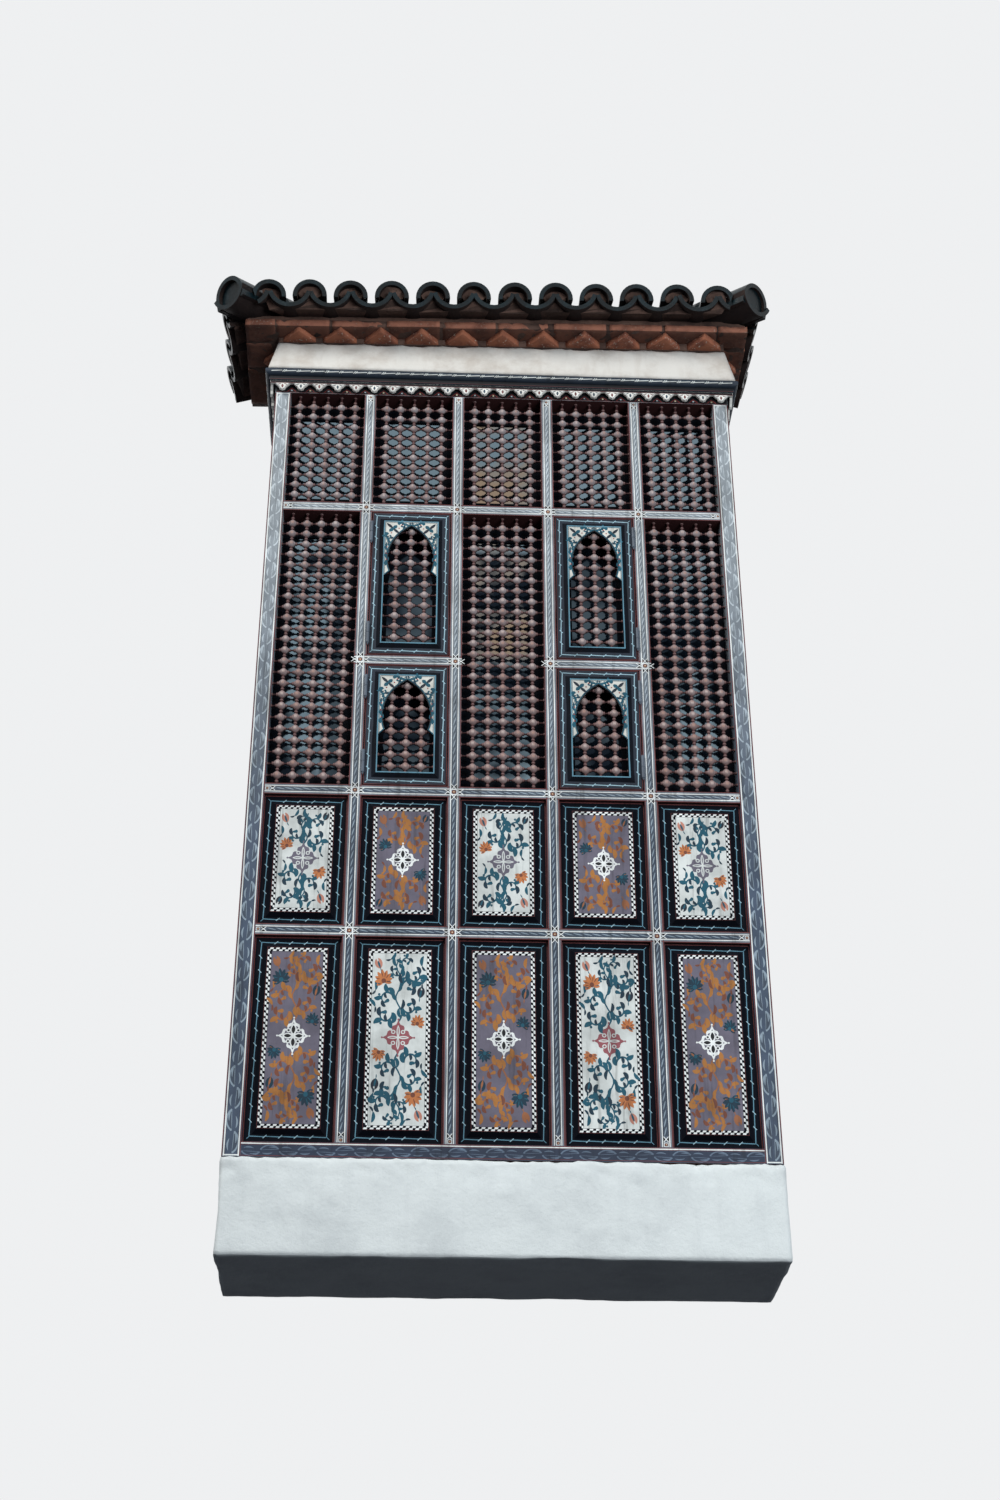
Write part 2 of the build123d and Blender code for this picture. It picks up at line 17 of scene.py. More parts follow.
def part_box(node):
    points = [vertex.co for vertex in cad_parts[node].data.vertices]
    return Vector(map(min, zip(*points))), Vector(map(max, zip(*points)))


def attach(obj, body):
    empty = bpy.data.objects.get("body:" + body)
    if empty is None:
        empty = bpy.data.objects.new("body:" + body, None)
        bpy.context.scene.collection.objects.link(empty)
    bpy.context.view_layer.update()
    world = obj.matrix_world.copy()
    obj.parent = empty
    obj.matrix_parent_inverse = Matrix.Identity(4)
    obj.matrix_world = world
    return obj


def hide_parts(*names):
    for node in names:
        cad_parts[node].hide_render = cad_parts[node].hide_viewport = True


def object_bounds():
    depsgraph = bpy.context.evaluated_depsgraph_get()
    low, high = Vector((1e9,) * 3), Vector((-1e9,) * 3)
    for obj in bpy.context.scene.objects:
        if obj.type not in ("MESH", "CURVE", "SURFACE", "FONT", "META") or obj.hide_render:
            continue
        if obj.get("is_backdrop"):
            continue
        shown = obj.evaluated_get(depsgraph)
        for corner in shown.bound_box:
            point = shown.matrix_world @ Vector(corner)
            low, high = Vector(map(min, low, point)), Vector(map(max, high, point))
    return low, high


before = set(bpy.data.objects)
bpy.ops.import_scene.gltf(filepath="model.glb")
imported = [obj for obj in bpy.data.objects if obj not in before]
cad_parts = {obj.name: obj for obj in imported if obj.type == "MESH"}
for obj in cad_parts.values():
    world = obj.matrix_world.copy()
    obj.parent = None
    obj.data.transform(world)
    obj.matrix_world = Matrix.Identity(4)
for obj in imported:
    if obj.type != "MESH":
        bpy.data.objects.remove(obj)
cad_low, cad_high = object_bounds()
print("nodes", len(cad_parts), "size", [round(b - a, 3) for a, b in zip(cad_low, cad_high)])

# %% [markdown]
# The lattices, tiles and painted lines all follow the joiner's grid. Its levels and columns are worked
# out once from the real sizes, so that each later cell can ask for an opening by name.
# %% The joiner's grid
half_width = 0.891
front_y = -0.421
post_width = 0.060
muntin_width = 0.045
rail_height = 0.042
frame_depth = 0.090
wall_post_depth = 0.060
slab_top = 0.162
bottom_rail_top = 0.212
panel_rail_z = 0.958
lattice_rail_z = 1.502
leaf_rail_z = 2.049
upper_rail_z = 2.741
head_z = 3.296
ceiling_z = 3.340
column_pitch = 0.345
muntin_x = [column_pitch * (i - 2.5) for i in range(1, 5)]
column_left = [-half_width + post_width] + [x + muntin_width / 2 for x in muntin_x]
column_right = [x - muntin_width / 2 for x in muntin_x] + [half_width - post_width]
columns = list(zip(column_left, column_right))
leaf_columns = (1, 3)
lattice_columns = (0, 2, 4)
half_rail = rail_height / 2
tall_panel_span = (bottom_rail_top, panel_rail_z - half_rail)
short_panel_span = (panel_rail_z + half_rail, lattice_rail_z - half_rail)
tall_lattice_span = (lattice_rail_z + half_rail, upper_rail_z - half_rail)
lower_leaf_span = (lattice_rail_z + half_rail, leaf_rail_z - half_rail)
upper_leaf_span = (leaf_rail_z + half_rail, upper_rail_z - half_rail)
top_span = (upper_rail_z + half_rail, head_z)
leaf_spots = [(column, span) for column in leaf_columns for span in (lower_leaf_span, upper_leaf_span)]
side_front_y = front_y + frame_depth
side_back_y = -wall_post_depth
side_width = side_back_y - side_front_y


def at(x, y, z):
    """A shift of a piece to a place."""
    return Matrix.Translation((x, y, z))


def quarter(turns, axis="Z"):
    """A turn by so many quarters of a circle."""
    return Matrix.Rotation(turns * pi / 2, 4, axis)


def front_place(column, level, setback=0.0):
    """Where a piece made about x = 0, z = 0 with its face at y = 0 goes in a column of the front."""
    left, right = columns[column]
    return at((left + right) / 2, front_y + setback, level)


def side_place(side, level, setback=0.0):
    """The same on a side of the bay; side is -1 on the left and 1 on the right."""
    middle = (side_front_y + side_back_y) / 2
    return at(side * (half_width - setback), middle, level) @ quarter(side)


def column_width(column):
    return columns[column][1] - columns[column][0]


def opening_height(span):
    return span[1] - span[0]


def span_of(column, span):
    """The width and the height of one opening of the front."""
    return column_width(column), opening_height(span)


print("columns", [round(column_width(i), 3) for i in range(5)])

# %% [markdown]
# The screen is seen from the street below, looking up by 31 degrees. The camera's place and turn are
# fitted values that put it below and in front of the slab, with a 50 mm lens on the long side of the frame.
# %% Camera
def new_object(name, data):
    """An object in the scene for a camera, a lamp or a mesh."""
    made = bpy.data.objects.new(name, data)
    bpy.context.scene.collection.objects.link(made)
    return made


camera_place = (-0.294, -6.719, -2.139)
camera_pitch = radians(31.19)
camera_yaw = radians(2.57)
camera_roll = radians(-0.07)
lens_data = bpy.data.cameras.new("street_camera")
lens_data.sensor_fit = "VERTICAL"
lens_data.sensor_height = 36.0
lens_data.lens = 50.0
lens_data.clip_end = 60.0
camera = new_object("street_camera", lens_data)
camera_turn = (
    Matrix.Rotation(-camera_yaw, 4, "Z")
    @ Matrix.Rotation(pi / 2 + camera_pitch, 4, "X")
    @ Matrix.Rotation(camera_roll, 4, "Z")
)
camera.matrix_world = Matrix.Translation(camera_place) @ camera_turn
bpy.context.scene.camera = camera
bpy.context.scene.view_settings.view_transform = "Standard"
print("camera at", camera_place)

# %% [markdown]
# Most finishes here are old paint, plaster and glaze, and all of them are made of a few noises: broad
# stains, fine grain and small chips. Short helpers for nodes keep each material readable. They make a
# node, feed it with links or plain values, and hand back the output that the next one needs.
# %% Helpers for nodes
def colour(red, green, blue):
    """A screen colour, 0 to 255, as the linear colour that a shader uses."""
    parts = [part / 255 for part in (red, green, blue)]
    linear = [p / 12.92 if p <= 0.04045 else ((p + 0.055) / 1.055) ** 2.4 for p in parts]
    return (*linear, 1.0)


def feed(tree, socket, value):
    """Gives a socket either a link or a plain value."""
    if isinstance(value, bpy.types.NodeSocket):
        tree.links.new(value, socket)
    else:
        socket.default_value = value


def new_node(tree, kind, inputs=None, **settings):
    """A shader node with its settings made and its inputs fed."""
    node = tree.nodes.new("ShaderNode" + kind)
    for label, value in settings.items():
        setattr(node, label, value)
    for label, value in (inputs or {}).items():
        feed(tree, node.inputs[label], value)
    return node


def object_spot(tree):
    """Where a point lies in the row frame, which is what the noises are read from."""
    return new_node(tree, "TexCoord").outputs["Object"]


def noise(tree, where, scale, detail=4.0, roughness=0.6):
    given = {"Vector": where, "Scale": scale, "Detail": detail, "Roughness": roughness}
    return new_node(tree, "TexNoise", given).outputs["Fac"]


def stretched(tree, where, x, y, z):
    return new_node(tree, "Mapping", {"Vector": where, "Scale": (x, y, z)}).outputs[0]


def ramp(tree, value, low, high, start=0.0, end=1.0):
    """Maps low..high to start..end, without going past either."""
    given = {"Value": value, "From Min": low, "From Max": high, "To Min": start, "To Max": end}
    return new_node(tree, "MapRange", given, interpolation_type="SMOOTHSTEP").outputs["Result"]


def maths(tree, operation, first, second=0.0):
    return new_node(tree, "Math", {0: first, 1: second}, operation=operation).outputs[0]


def times(tree, first, second):
    return maths(tree, "MULTIPLY", first, second)


def blend(tree, amount, first, second, kind="MIX"):
    given = {0: amount, 6: first, 7: second}
    return new_node(tree, "Mix", given, data_type="RGBA", blend_type=kind).outputs[2]


def toned(tree, paint, value):
    """A paint made darker or lighter by a value."""
    tone = new_node(tree, "CombineColor", {0: value, 1: value, 2: value}).outputs[0]
    return blend(tree, 1.0, paint, tone, "MULTIPLY")


def split(tree, vector):
    return new_node(tree, "SeparateXYZ", {0: vector}).outputs


def looking(tree):
    """The way a face looks, as x, y and z."""
    return split(tree, new_node(tree, "NewGeometry").outputs["True Normal"])


def underside(tree, low=0.4, high=0.8):
    """A mask for faces that look down."""
    return ramp(tree, times(tree, looking(tree)["Z"], -1.0), low, high)


def facing_front(tree, inward=False):
    """A mask for faces that look at the street, or inwards at the room."""
    return ramp(tree, times(tree, looking(tree)["Y"], 1.0 if inward else -1.0), 0.5, 0.7)


print("node helpers ready")

# %% [markdown]
# A shared effect is a node group that gives a colour and a height, so that the shader stays in the
# material. Each finish wraps one such group, with its own paints, roughness and depth of relief.
# %% Groups and finishes
def new_group(name, **inputs):
    """A node group that gives a colour and a height, with its inputs and outputs."""
    group = bpy.data.node_groups.new(name, "ShaderNodeTree")
    for label, value in inputs.items():
        kind = "NodeSocketColor" if isinstance(value, tuple) else "NodeSocketFloat"
        socket = group.interface.new_socket(name=label, in_out="INPUT", socket_type=kind)
        socket.default_value = value
    group.interface.new_socket(name="Colour", in_out="OUTPUT", socket_type="NodeSocketColor")
    group.interface.new_socket(name="Height", in_out="OUTPUT", socket_type="NodeSocketFloat")
    given = group.nodes.new("NodeGroupInput").outputs
    return group, given, group.nodes.new("NodeGroupOutput").inputs


def shader_of(finish):
    """The inputs of a material's shader."""
    return finish.node_tree.nodes["Principled BSDF"].inputs


def new_material(name, roughness=0.5, specular=0.5):
    """A material, its node tree and the inputs of its shader."""
    finish = bpy.data.materials.new(name)
    finish.use_nodes = True
    inputs = shader_of(finish)
    inputs["Roughness"].default_value = roughness
    inputs["Specular IOR Level"].default_value = specular
    return finish, finish.node_tree, inputs


def give_relief(tree, height, distance, shader_inputs):
    """Bumps a shader by a height."""
    bump = new_node(tree, "Bump", {"Distance": distance, "Height": height})
    feed(tree, shader_inputs["Normal"], bump.outputs[0])


def new_finish(name, effect, roughness=0.6, relief=0.0005, **values):
    """A material whose colour and height come from one shared effect."""
    finish, tree, inputs = new_material(name, roughness, 0.25)
    group = tree.nodes.new("ShaderNodeGroup")
    group.node_tree = effect
    for label, value in values.items():
        group.inputs[label].default_value = value
    feed(tree, inputs["Base Color"], group.outputs["Colour"])
    give_relief(tree, group.outputs["Height"], relief, inputs)
    return finish


def overpaint(finish, mask, first=None, second=None):
    """Mixes a finish's own colour, in the place that is left out, with another by a mask."""
    tree, base = finish.node_tree, shader_of(finish)["Base Color"]
    own = base.links[0].from_socket
    feed(tree, base, blend(tree, mask, first or own, second or own))


print("finish helpers ready")

# %% [markdown]
# Soft daylight comes from the open street, above and in front. One large lamp does that, a weaker one
# fills from the right, one lights the back, and a dim even sky keeps the undersides dark. The camera
# itself sees a plain pale backdrop in place of that sky.
# %% Light, floor and backdrop
def soft_lamp(name, place, aim, size, watts, tint):
    lamp_data = bpy.data.lights.new(name, "AREA")
    lamp_data.shape = "DISK"
    lamp_data.size = size
    lamp_data.energy = watts
    lamp_data.color = tint
    look = Vector(aim) - Vector(place)
    turn = look.to_track_quat("-Z", "Y").to_matrix().to_4x4()
    new_object(name, lamp_data).matrix_world = Matrix.Translation(place) @ turn


soft_lamp("sky_lamp", (-4.8, -6.4, 8.4), (0, -0.3, 1.7), 3.8, 700, (1.0, 0.98, 0.95))
soft_lamp("fill_lamp", (3.6, -6.6, 1.1), (0, -0.3, 1.0), 4.0, 300, (0.93, 0.97, 1.0))
soft_lamp("back_lamp", (-2.0, 6.5, 5.5), (0, 0, 1.8), 5.0, 360, (0.97, 0.98, 1.0))

world = bpy.data.worlds.new("pale_sky")
bpy.context.scene.world = world
world.use_nodes = True
tree = world.node_tree
tree.nodes.clear()
sky_light = new_node(tree, "Background", {"Color": (0.80, 0.88, 1.0, 1.0), "Strength": 0.38})
sky_seen = new_node(tree, "Background", {"Color": (0.86, 0.87, 0.88, 1.0), "Strength": 1.0})
ray = new_node(tree, "LightPath").outputs
seen = maths(tree, "MAXIMUM", ray["Is Camera Ray"], ray["Is Glossy Ray"])
seen = maths(tree, "MAXIMUM", seen, ray["Is Transmission Ray"])
sky_mix = new_node(tree, "MixShader", {0: seen, 1: sky_light.outputs[0], 2: sky_seen.outputs[0]})
new_node(tree, "OutputWorld", {"Surface": sky_mix.outputs[0]})

floor_level = -3.76
bpy.ops.mesh.primitive_plane_add(size=60.0, location=(0, 0, floor_level))
floor = bpy.context.object
floor.name = "studio_floor"
floor_finish, tree, floor_inputs = new_material("pale_floor", 0.9)
seen = new_node(tree, "LightPath").outputs["Is Camera Ray"]
dark_floor, pale_floor = (0.07, 0.07, 0.08, 1.0), (0.72, 0.72, 0.71, 1.0)
feed(tree, floor_inputs["Base Color"], blend(tree, seen, dark_floor, pale_floor))
floor.data.materials.append(floor_finish)
floor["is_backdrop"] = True
print("floor", round(cad_low[2] - floor_level, 2), "m under the slab")

# %% [markdown]
# Old distemper on wood fades in broad patches, takes dirt in streaks where rain ran down, cracks along
# the grain and flakes off at random until brown wood shows. The group mixes these from four noises, and
# an input paints light on the upper part: higher up the paint is mixed towards a paler colour, as painted
# skylight.
# %% Worn paint
worn_paint, given, made = new_group(
    "worn_paint", Paint=(0.2, 0.3, 0.4, 1), Bare=(0.05, 0.03, 0.02, 1), Wear=0.3, Fade=0.0,
    Sky=(0.37, 0.41, 0.43, 1),
)
tree = worn_paint
spot = object_spot(tree)
patches = noise(tree, spot, 9.0, 5.0)
tone = ramp(tree, patches, 0.3, 0.7, 0.78, 1.16)
streaks = noise(tree, stretched(tree, spot, 42, 42, 3.0), 1.0, 4.0)
stain = ramp(tree, streaks, 0.52, 0.72, 1.0, 0.62)
flakes = noise(tree, spot, 120.0, 6.0, 0.7)
lifted = maths(tree, "ADD", flakes, times(tree, patches, 0.35))
edge = maths(tree, "SUBTRACT", 0.98, times(tree, given["Wear"], 0.3))
chips = ramp(tree, lifted, edge, maths(tree, "ADD", edge, 0.05))
cracks = ramp(tree, noise(tree, stretched(tree, spot, 320, 320, 14), 1.0, 3.0), 0.6, 0.74)
# Painted light: higher up, the paint is mixed towards a paler colour, as if the sky lit it more.
painted_top_light_mask = times(tree, ramp(tree, split(tree, spot)["Z"], 1.1, 2.9), given["Fade"])
top_lit_paint = blend(tree, painted_top_light_mask, given["Paint"], given["Sky"])
stained = toned(tree, toned(tree, top_lit_paint, tone), stain)
lost = maths(tree, "MAXIMUM", chips, times(tree, cracks, given["Wear"]))
feed(tree, made["Colour"], blend(tree, lost, stained, given["Bare"]))
feed(tree, made["Height"], maths(tree, "SUBTRACT", times(tree, flakes, 0.4), lost))
print("worn paint has", len(tree.nodes), "nodes")

# %% [markdown]
# Trowelled plaster is pale with grey rain stains, brown specks and a coarse skin. The same recipe gives
# rough mortar when it is darker and has more specks. Undersides are darkened and turned blue-grey as painted
# shade.
# %% Plaster and mortar
rough_plaster, given, made = new_group(
    "rough_plaster", Pale=(0.6, 0.6, 0.6, 1), Stain=(0.3, 0.3, 0.3, 1), Specks=0.4
)
tree = rough_plaster
spot = object_spot(tree)
clouds = noise(tree, spot, 5.0, 6.0, 0.65)
stained = blend(tree, ramp(tree, clouds, 0.42, 0.72), given["Pale"], given["Stain"])
runs = ramp(tree, noise(tree, stretched(tree, spot, 22, 22, 2.2), 1.0, 5.0), 0.5, 0.75)
run_down = blend(tree, times(tree, runs, 0.35), stained, given["Stain"])
skin = noise(tree, spot, 55.0, 8.0, 0.7)
specks = times(tree, ramp(tree, skin, 0.58, 0.72), given["Specks"])
plain = blend(tree, specks, run_down, given["Stain"])
# Painted shade: faces that look down are darkened towards a dark blue-grey.
shaded_underside = blend(tree, 1.0, plain, colour(74, 92, 106), "MULTIPLY")
feed(tree, made["Colour"], blend(tree, times(tree, underside(tree), 0.6), plain, shaded_underside))
feed(tree, made["Height"], maths(tree, "ADD", skin, times(tree, clouds, 1.5)))
print("plaster has", len(tree.nodes), "nodes")

# %% [markdown]
# Hand-dipped glaze pools dark and thins to a paler green in places. Thin bricks are fired unevenly and
# carry lime flecks, and their undersides are darkened as painted shade. Both need two colours and a mask,
# which makes one more small group.
# %% Fired clay
fired_clay, given, made = new_group(
    "fired_clay", Main=(0.1, 0.2, 0.2, 1), Other=(0.2, 0.3, 0.3, 1), Lime=(0.5, 0.45, 0.4, 1), Flecks=0.3,
    Soot=0.75,
)
tree = fired_clay
spot = object_spot(tree)
pools = noise(tree, spot, 14.0, 5.0)
fired = blend(tree, ramp(tree, pools, 0.4, 0.68), given["Main"], given["Other"])
grit = noise(tree, spot, 95.0, 7.0, 0.7)
fleck = ramp(tree, maths(tree, "ADD", grit, times(tree, pools, 0.3)), 0.74, 0.82)
limed = blend(tree, times(tree, fleck, given["Flecks"]), fired, given["Lime"])
# Painted shade: faces that look down are darkened towards a near-black brown.
underside_shade = times(tree, underside(tree), given["Soot"])
feed(tree, made["Colour"], blend(tree, underside_shade, limed, colour(30, 22, 22)))
feed(tree, made["Height"], maths(tree, "ADD", grit, pools))
print("fired clay has", len(tree.nodes), "nodes")

# %% [markdown]
# The timber is painted a faded grey-blue on every face that the street sees straight on. Edges and
# undersides keep the oxblood ground coat. The material tells them apart by which way a face looks.
# The corner and wall posts are painted on their sides too.
# %% Timber finishes
oxblood = colour(62, 34, 34)
bare_wood = colour(66, 46, 38)


def timber_finish(name, paint, sides_painted):
    """Worn paint whose undersides, and sides if asked, keep the ground coat."""
    # Painted light: the timber's paint turns paler towards the top of the screen.
    finish = new_finish(name, worn_paint, 0.62, Paint=paint, Bare=bare_wood, Wear=0.16, Fade=0.7)
    tree = finish.node_tree
    mask = underside(tree, 0.5, 0.7)
    if not sides_painted:
        aside = ramp(tree, maths(tree, "ABSOLUTE", looking(tree)["X"]), 0.75, 0.9)
        mask = maths(tree, "MAXIMUM", mask, aside)
    overpaint(finish, mask, second=oxblood)
    return finish


finishes = {
    "frame": timber_finish("frame_paint", colour(88, 99, 113), False),
    "post": timber_finish("post_paint", colour(66, 79, 97), True),
}
paints = {
    "leaf": ("leaf_paint", 0.8, (12, 17, 26), bare_wood, 0.3),
    "panel_ground": ("panel_ground", 0.8, (9, 13, 22), bare_wood, 0.2),
    "board": ("board_paint", 0.55, (208, 208, 200), bare_wood, 0.2),
    "hinge": ("hinge_paint", 0.5, (88, 98, 110), colour(40, 26, 22), 0.5),
    "cornice": ("cornice_paint", 0.55, (40, 50, 62), bare_wood, 0.3),
    "valance": ("valance_paint", 0.6, (226, 226, 220), oxblood, 0.2),
    "ceiling": ("plain_wood", 0.8, (60, 44, 38), bare_wood, 0.4),
}
for key, (name, roughness, paint, bare, wear) in paints.items():
    finishes[key] = new_finish(name, worn_paint, roughness, Paint=colour(*paint), Bare=bare, Wear=wear)
panel_ground, board = finishes["panel_ground"], finishes["board"]
overpaint(panel_ground, facing_front(panel_ground.node_tree, True), second=colour(74, 56, 47))
overpaint(board, facing_front(board.node_tree), first=colour(14, 34, 44))
print("timber finishes", len(finishes))

# %% [markdown]
# Plaster, mortar, bricks and tiles come from their two recipes. The roof glaze has a thin glossy coat,
# and bare clay shows inside the tiles.
# %% Masonry finishes
plasters = {
    "slab": ("slab_plaster", 0.85, 0.0026, (222, 228, 227), (206, 212, 212), 0.4),
    "band": ("band_plaster", 0.9, 0.003, (216, 214, 208), (190, 183, 174), 0.15),
    "mortar": ("mortar", 0.95, 0.006, (112, 88, 78), (60, 46, 42), 0.7),
}
for key, (name, roughness, relief, pale, stain, specks) in plasters.items():
    given = {"Pale": colour(*pale), "Stain": colour(*stain), "Specks": specks}
    finishes[key] = new_finish(name, rough_plaster, roughness, relief, **given)
# In each row the last number is how strong the painted shade on undersides is.
clays = {
    "brick": ("brick", 0.85, 0.002, (176, 118, 96), (132, 86, 70), (188, 170, 154), 0.5, 0.75),
    "tooth": ("tooth_brick", 0.85, 0.002, (168, 106, 80), (122, 74, 60), (208, 194, 178), 1.0, 0.3),
    "glaze": ("green_glaze", 0.36, 0.0012, (7, 17, 21), (13, 32, 38), (66, 74, 72), 0.2, 0.75),
    "clay": ("bare_clay", 0.9, 0.0015, (52, 40, 36), (30, 27, 28), (96, 88, 80), 0.3, 0.75),
}
for key, (name, roughness, relief, main, other, lime, flecks, underside_shade) in clays.items():
    given = {"Main": colour(*main), "Other": colour(*other), "Lime": colour(*lime), "Flecks": flecks}
    finishes[key] = new_finish(name, fired_clay, roughness, relief, Soot=underside_shade, **given)
for label, value in (("Coat Weight", 0.1), ("Coat Roughness", 0.15)):
    shader_of(finishes["glaze"])[label].default_value = value
for key, level in (("leaf", 0.1), ("panel_ground", 0.08), ("glaze", 0.2)):
    shader_of(finishes[key])["Specular IOR Level"].default_value = level
print("finishes", len(finishes))

# %% [markdown]
# The panes are dark mirrors with a painted reflection: a pale and mottled street, dimmed as painted shade
# behind the arched leaves, bright in the top row, and warm in the middle lattice. The tint of the reflection
# paints this from the pane's place alone, and only on faces that look at the street.
# %% Window glass
finishes["glass"], tree, pane_inputs = new_material("window_glass", 0.06)
pane_inputs["Base Color"].default_value = (0.006, 0.010, 0.016, 1.0)
pane_inputs["IOR"].default_value = 3.4
spot = object_spot(tree)
pane_x, _, pane_z = split(tree, spot)
from_middle = maths(tree, "ABSOLUTE", pane_x)
painted_street_mottle = ramp(tree, noise(tree, stretched(tree, spot, 4.0, 1.0, 5.5), 1.0, 2.0), 0.38, 0.62)
upper_pane = ramp(tree, pane_z, 2.58, 2.62)
painted_reflection = maths(tree, "MAXIMUM", painted_street_mottle, times(tree, upper_pane, 0.9))
beside = ramp(tree, from_middle, 0.20, 0.21)
leaf_pane = times(tree, beside, ramp(tree, from_middle, 0.64, 0.66, 1.0, 0.0))
leaf_pane = times(tree, leaf_pane, ramp(tree, pane_z, 2.58, 2.62, 1.0, 0.0))
painted_reflection = times(tree, painted_reflection, ramp(tree, leaf_pane, 0.0, 1.0, 1.0, 0.28))
painted_cool_reflection = blend(tree, painted_reflection, (0.02, 0.03, 0.045, 1.0), (0.62, 0.86, 1.0, 1.0))
middle_pane = ramp(tree, from_middle, 0.20, 0.21, 1.0, 0.0)
painted_warm_reflection = times(tree, middle_pane, times(tree, ramp(tree, pane_z, 2.08, 2.14), painted_street_mottle))
painted_reflection_tint = blend(tree, painted_warm_reflection, painted_cool_reflection, (1.0, 0.74, 0.52, 1.0))
tint = blend(tree, facing_front(tree), (0.11, 0.14, 0.16, 1.0), painted_reflection_tint)
# Painted reflection: the specular tint carries the street's light and shade by place on the pane.
feed(tree, pane_inputs["Specular Tint"], tint)
print("glass has", len(tree.nodes), "nodes")

# %% [markdown]
# Frames, boards and leaves keep the CAD shapes, so they only need their finish. Hand-planed edges are
# never sharp: a fine chamfer catches the light along each painted piece.
# %% Finishes on the CAD nodes
def finish_node(node, key):
    """Gives a CAD node one finish; its mesh stays as it is."""
    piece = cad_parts[node]
    for slot in piece.material_slots:
        slot.material = finishes[key]
    return piece


finished_nodes = {
    "post": "left_corner_post right_corner_post left_wall_post right_wall_post side_rails",
    "frame": "muntins bottom_rail panel_rails lattice_rails leaf_rails upper_rails head_rail",
    "panel_ground": "short_panels tall_panels side_panels",
    "leaf": "lower_left_leaf lower_right_leaf upper_left_leaf upper_right_leaf",
    "cornice": "front_cornice side_cornices",
    "board": "spandrel_boards",
    "valance": "front_valance side_valances",
    "glass": "front_glass side_glass",
    "ceiling": "ceiling_board",
    "hinge": "leaf_hinges",
}
for key, nodes in finished_nodes.items():
    for node in nodes.split():
        piece = finish_node(node, key)
        if key in ("post", "frame", "panel_ground", "leaf", "cornice", "board"):
            edge = piece.modifiers.new("soft_edge", "BEVEL")
            edge.width = 0.0012
            edge.segments = 1
            edge.limit_method = "ANGLE"
            edge.angle_limit = radians(40)
print("finished CAD nodes as", ", ".join(finished_nodes))

# %% [markdown]
# Many pieces here repeat one small form. A form is a list of points and faces; it is copied to many
# places in one array, and the whole set becomes one mesh, which is fast and keeps the piece count low.
# %% Forms that repeat
def polar(radius, angle, x=0.0, z=0.0):
    """The point at a radius and an angle about (x, z)."""
    return x + radius * cos(angle), z + radius * sin(angle)


def tube_faces(count, steps):
    """The sides of a tube, from rings of so many points each."""
    faces = []
    for step in range(steps):
        for k in range(count):
            a, b = step * count + k, step * count + (k + 1) % count
            faces.append([a, b, b + count, a + count])
    return faces


def ring_form(profile, segments, axis):
    """A turned form: rings of (along, radius) about one axis, open at both ends."""
    angles = [2 * pi * k / segments for k in range(segments)]
    points, girths = [], []
    for along, radius in profile:
        for angle in angles:
            first, second = polar(radius, angle)
            points.append((along, first, second) if axis == "X" else (first, second, along))
            girths.append(radius)
    return np.array(points), np.array(tube_faces(segments, len(profile) - 1)), np.array(girths)


def many(form, places):
    """Copies of one form at several places, as one set of points, faces and girths."""
    points, faces, girths = form
    shifts = np.array(places, dtype=float)
    all_points = (points[None, :, :] + shifts[:, None, :]).reshape(-1, 3)
    steps = np.arange(len(shifts)) * len(points)
    all_faces = (faces[None, :, :] + steps[:, None, None]).reshape(-1, faces.shape[1])
    return all_points, all_faces, np.tile(girths, len(shifts))


def mesh_piece(name, points, faces, finish, smooth=True):
    """A new object from points and faces, already in the row frame."""
    mesh = bpy.data.meshes.new(name)
    mesh.from_pydata([tuple(p) for p in points], [], [tuple(int(i) for i in f) for f in faces])
    mesh.materials.append(finish)
    mesh.polygons.foreach_set("use_smooth", [smooth] * len(mesh.polygons))
    mesh.update()
    return new_object(name, mesh)


def settle(piece, slot, *nodes):
    """Every piece rides on the root body and hides the CAD nodes it stands for. The slot is not used."""
    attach(piece, "root")
    if nodes:
        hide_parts(*nodes)


def settled(name, form, key, slot, *nodes, smooth=True):
    """A settled piece of one finish, from a form."""
    settle(mesh_piece(name, form[0], form[1], finishes[key], smooth), slot, *nodes)
    print(name, "has", len(form[1]), "faces")


print("form helpers ready")

# %% [markdown]
# A mashrabiya is known by these: balls of 28 mm turned in one with thin upright spindles, and short
# turned pegs between them that hold the balls apart. All of the pegs have the same cone and
# bead, so one ball, one peg and two end pieces make every opening.
# %% The turner's profiles
mm = 0.001
ball_half = [(0, 14), (4.5, 13.6), (9, 11.8), (12.6, 8.6), (14.2, 6.2), (15.8, 6.0), (17.2, 4.4), (19.8, 4.6),
             (21.4, 6.6), (24, 7.0)]
ball_profile = [(-along, radius) for along, radius in ball_half[:0:-1]] + ball_half
spindle_pitch = 54.0
row_pitch = 48.0
stile_margin, rail_margin = 27.0, 30.0
peg_side = [(9, 10.6), (12.4, 9.2), (15.0, 6.6), (16.2, 6.2), (17.6, 7.2), (19.8, 6.6), (22.4, 4.2),
            (24, 3.2)]
peg_profile = peg_side + [(spindle_pitch - along, radius) for along, radius in peg_side[::-1]]


def scaled(profile):
    return [(along * mm, radius * mm) for along, radius in profile]


def centred(length, pitch, margin):
    steps = int((length - 2 * margin + 1e-6) // pitch)
    return [pitch * (i - steps / 2) for i in range(steps + 1)]


def end_profile(reach):
    """From the last ball's waist to the rail, with a cap against the rail."""
    return [(24, 7.0), (28, 6.6), (30, 4.6), (reach - 4, 4.6), (reach - 3, 7.0), (reach, 7.2)]


def end_peg(reach):
    """From the last ball to the stile, with the same cone and a longer neck."""
    return peg_side + [(reach - 5, 3.2), (reach - 4, 6.0), (reach, 6.4)]


print("ball profile rings", len(ball_profile))
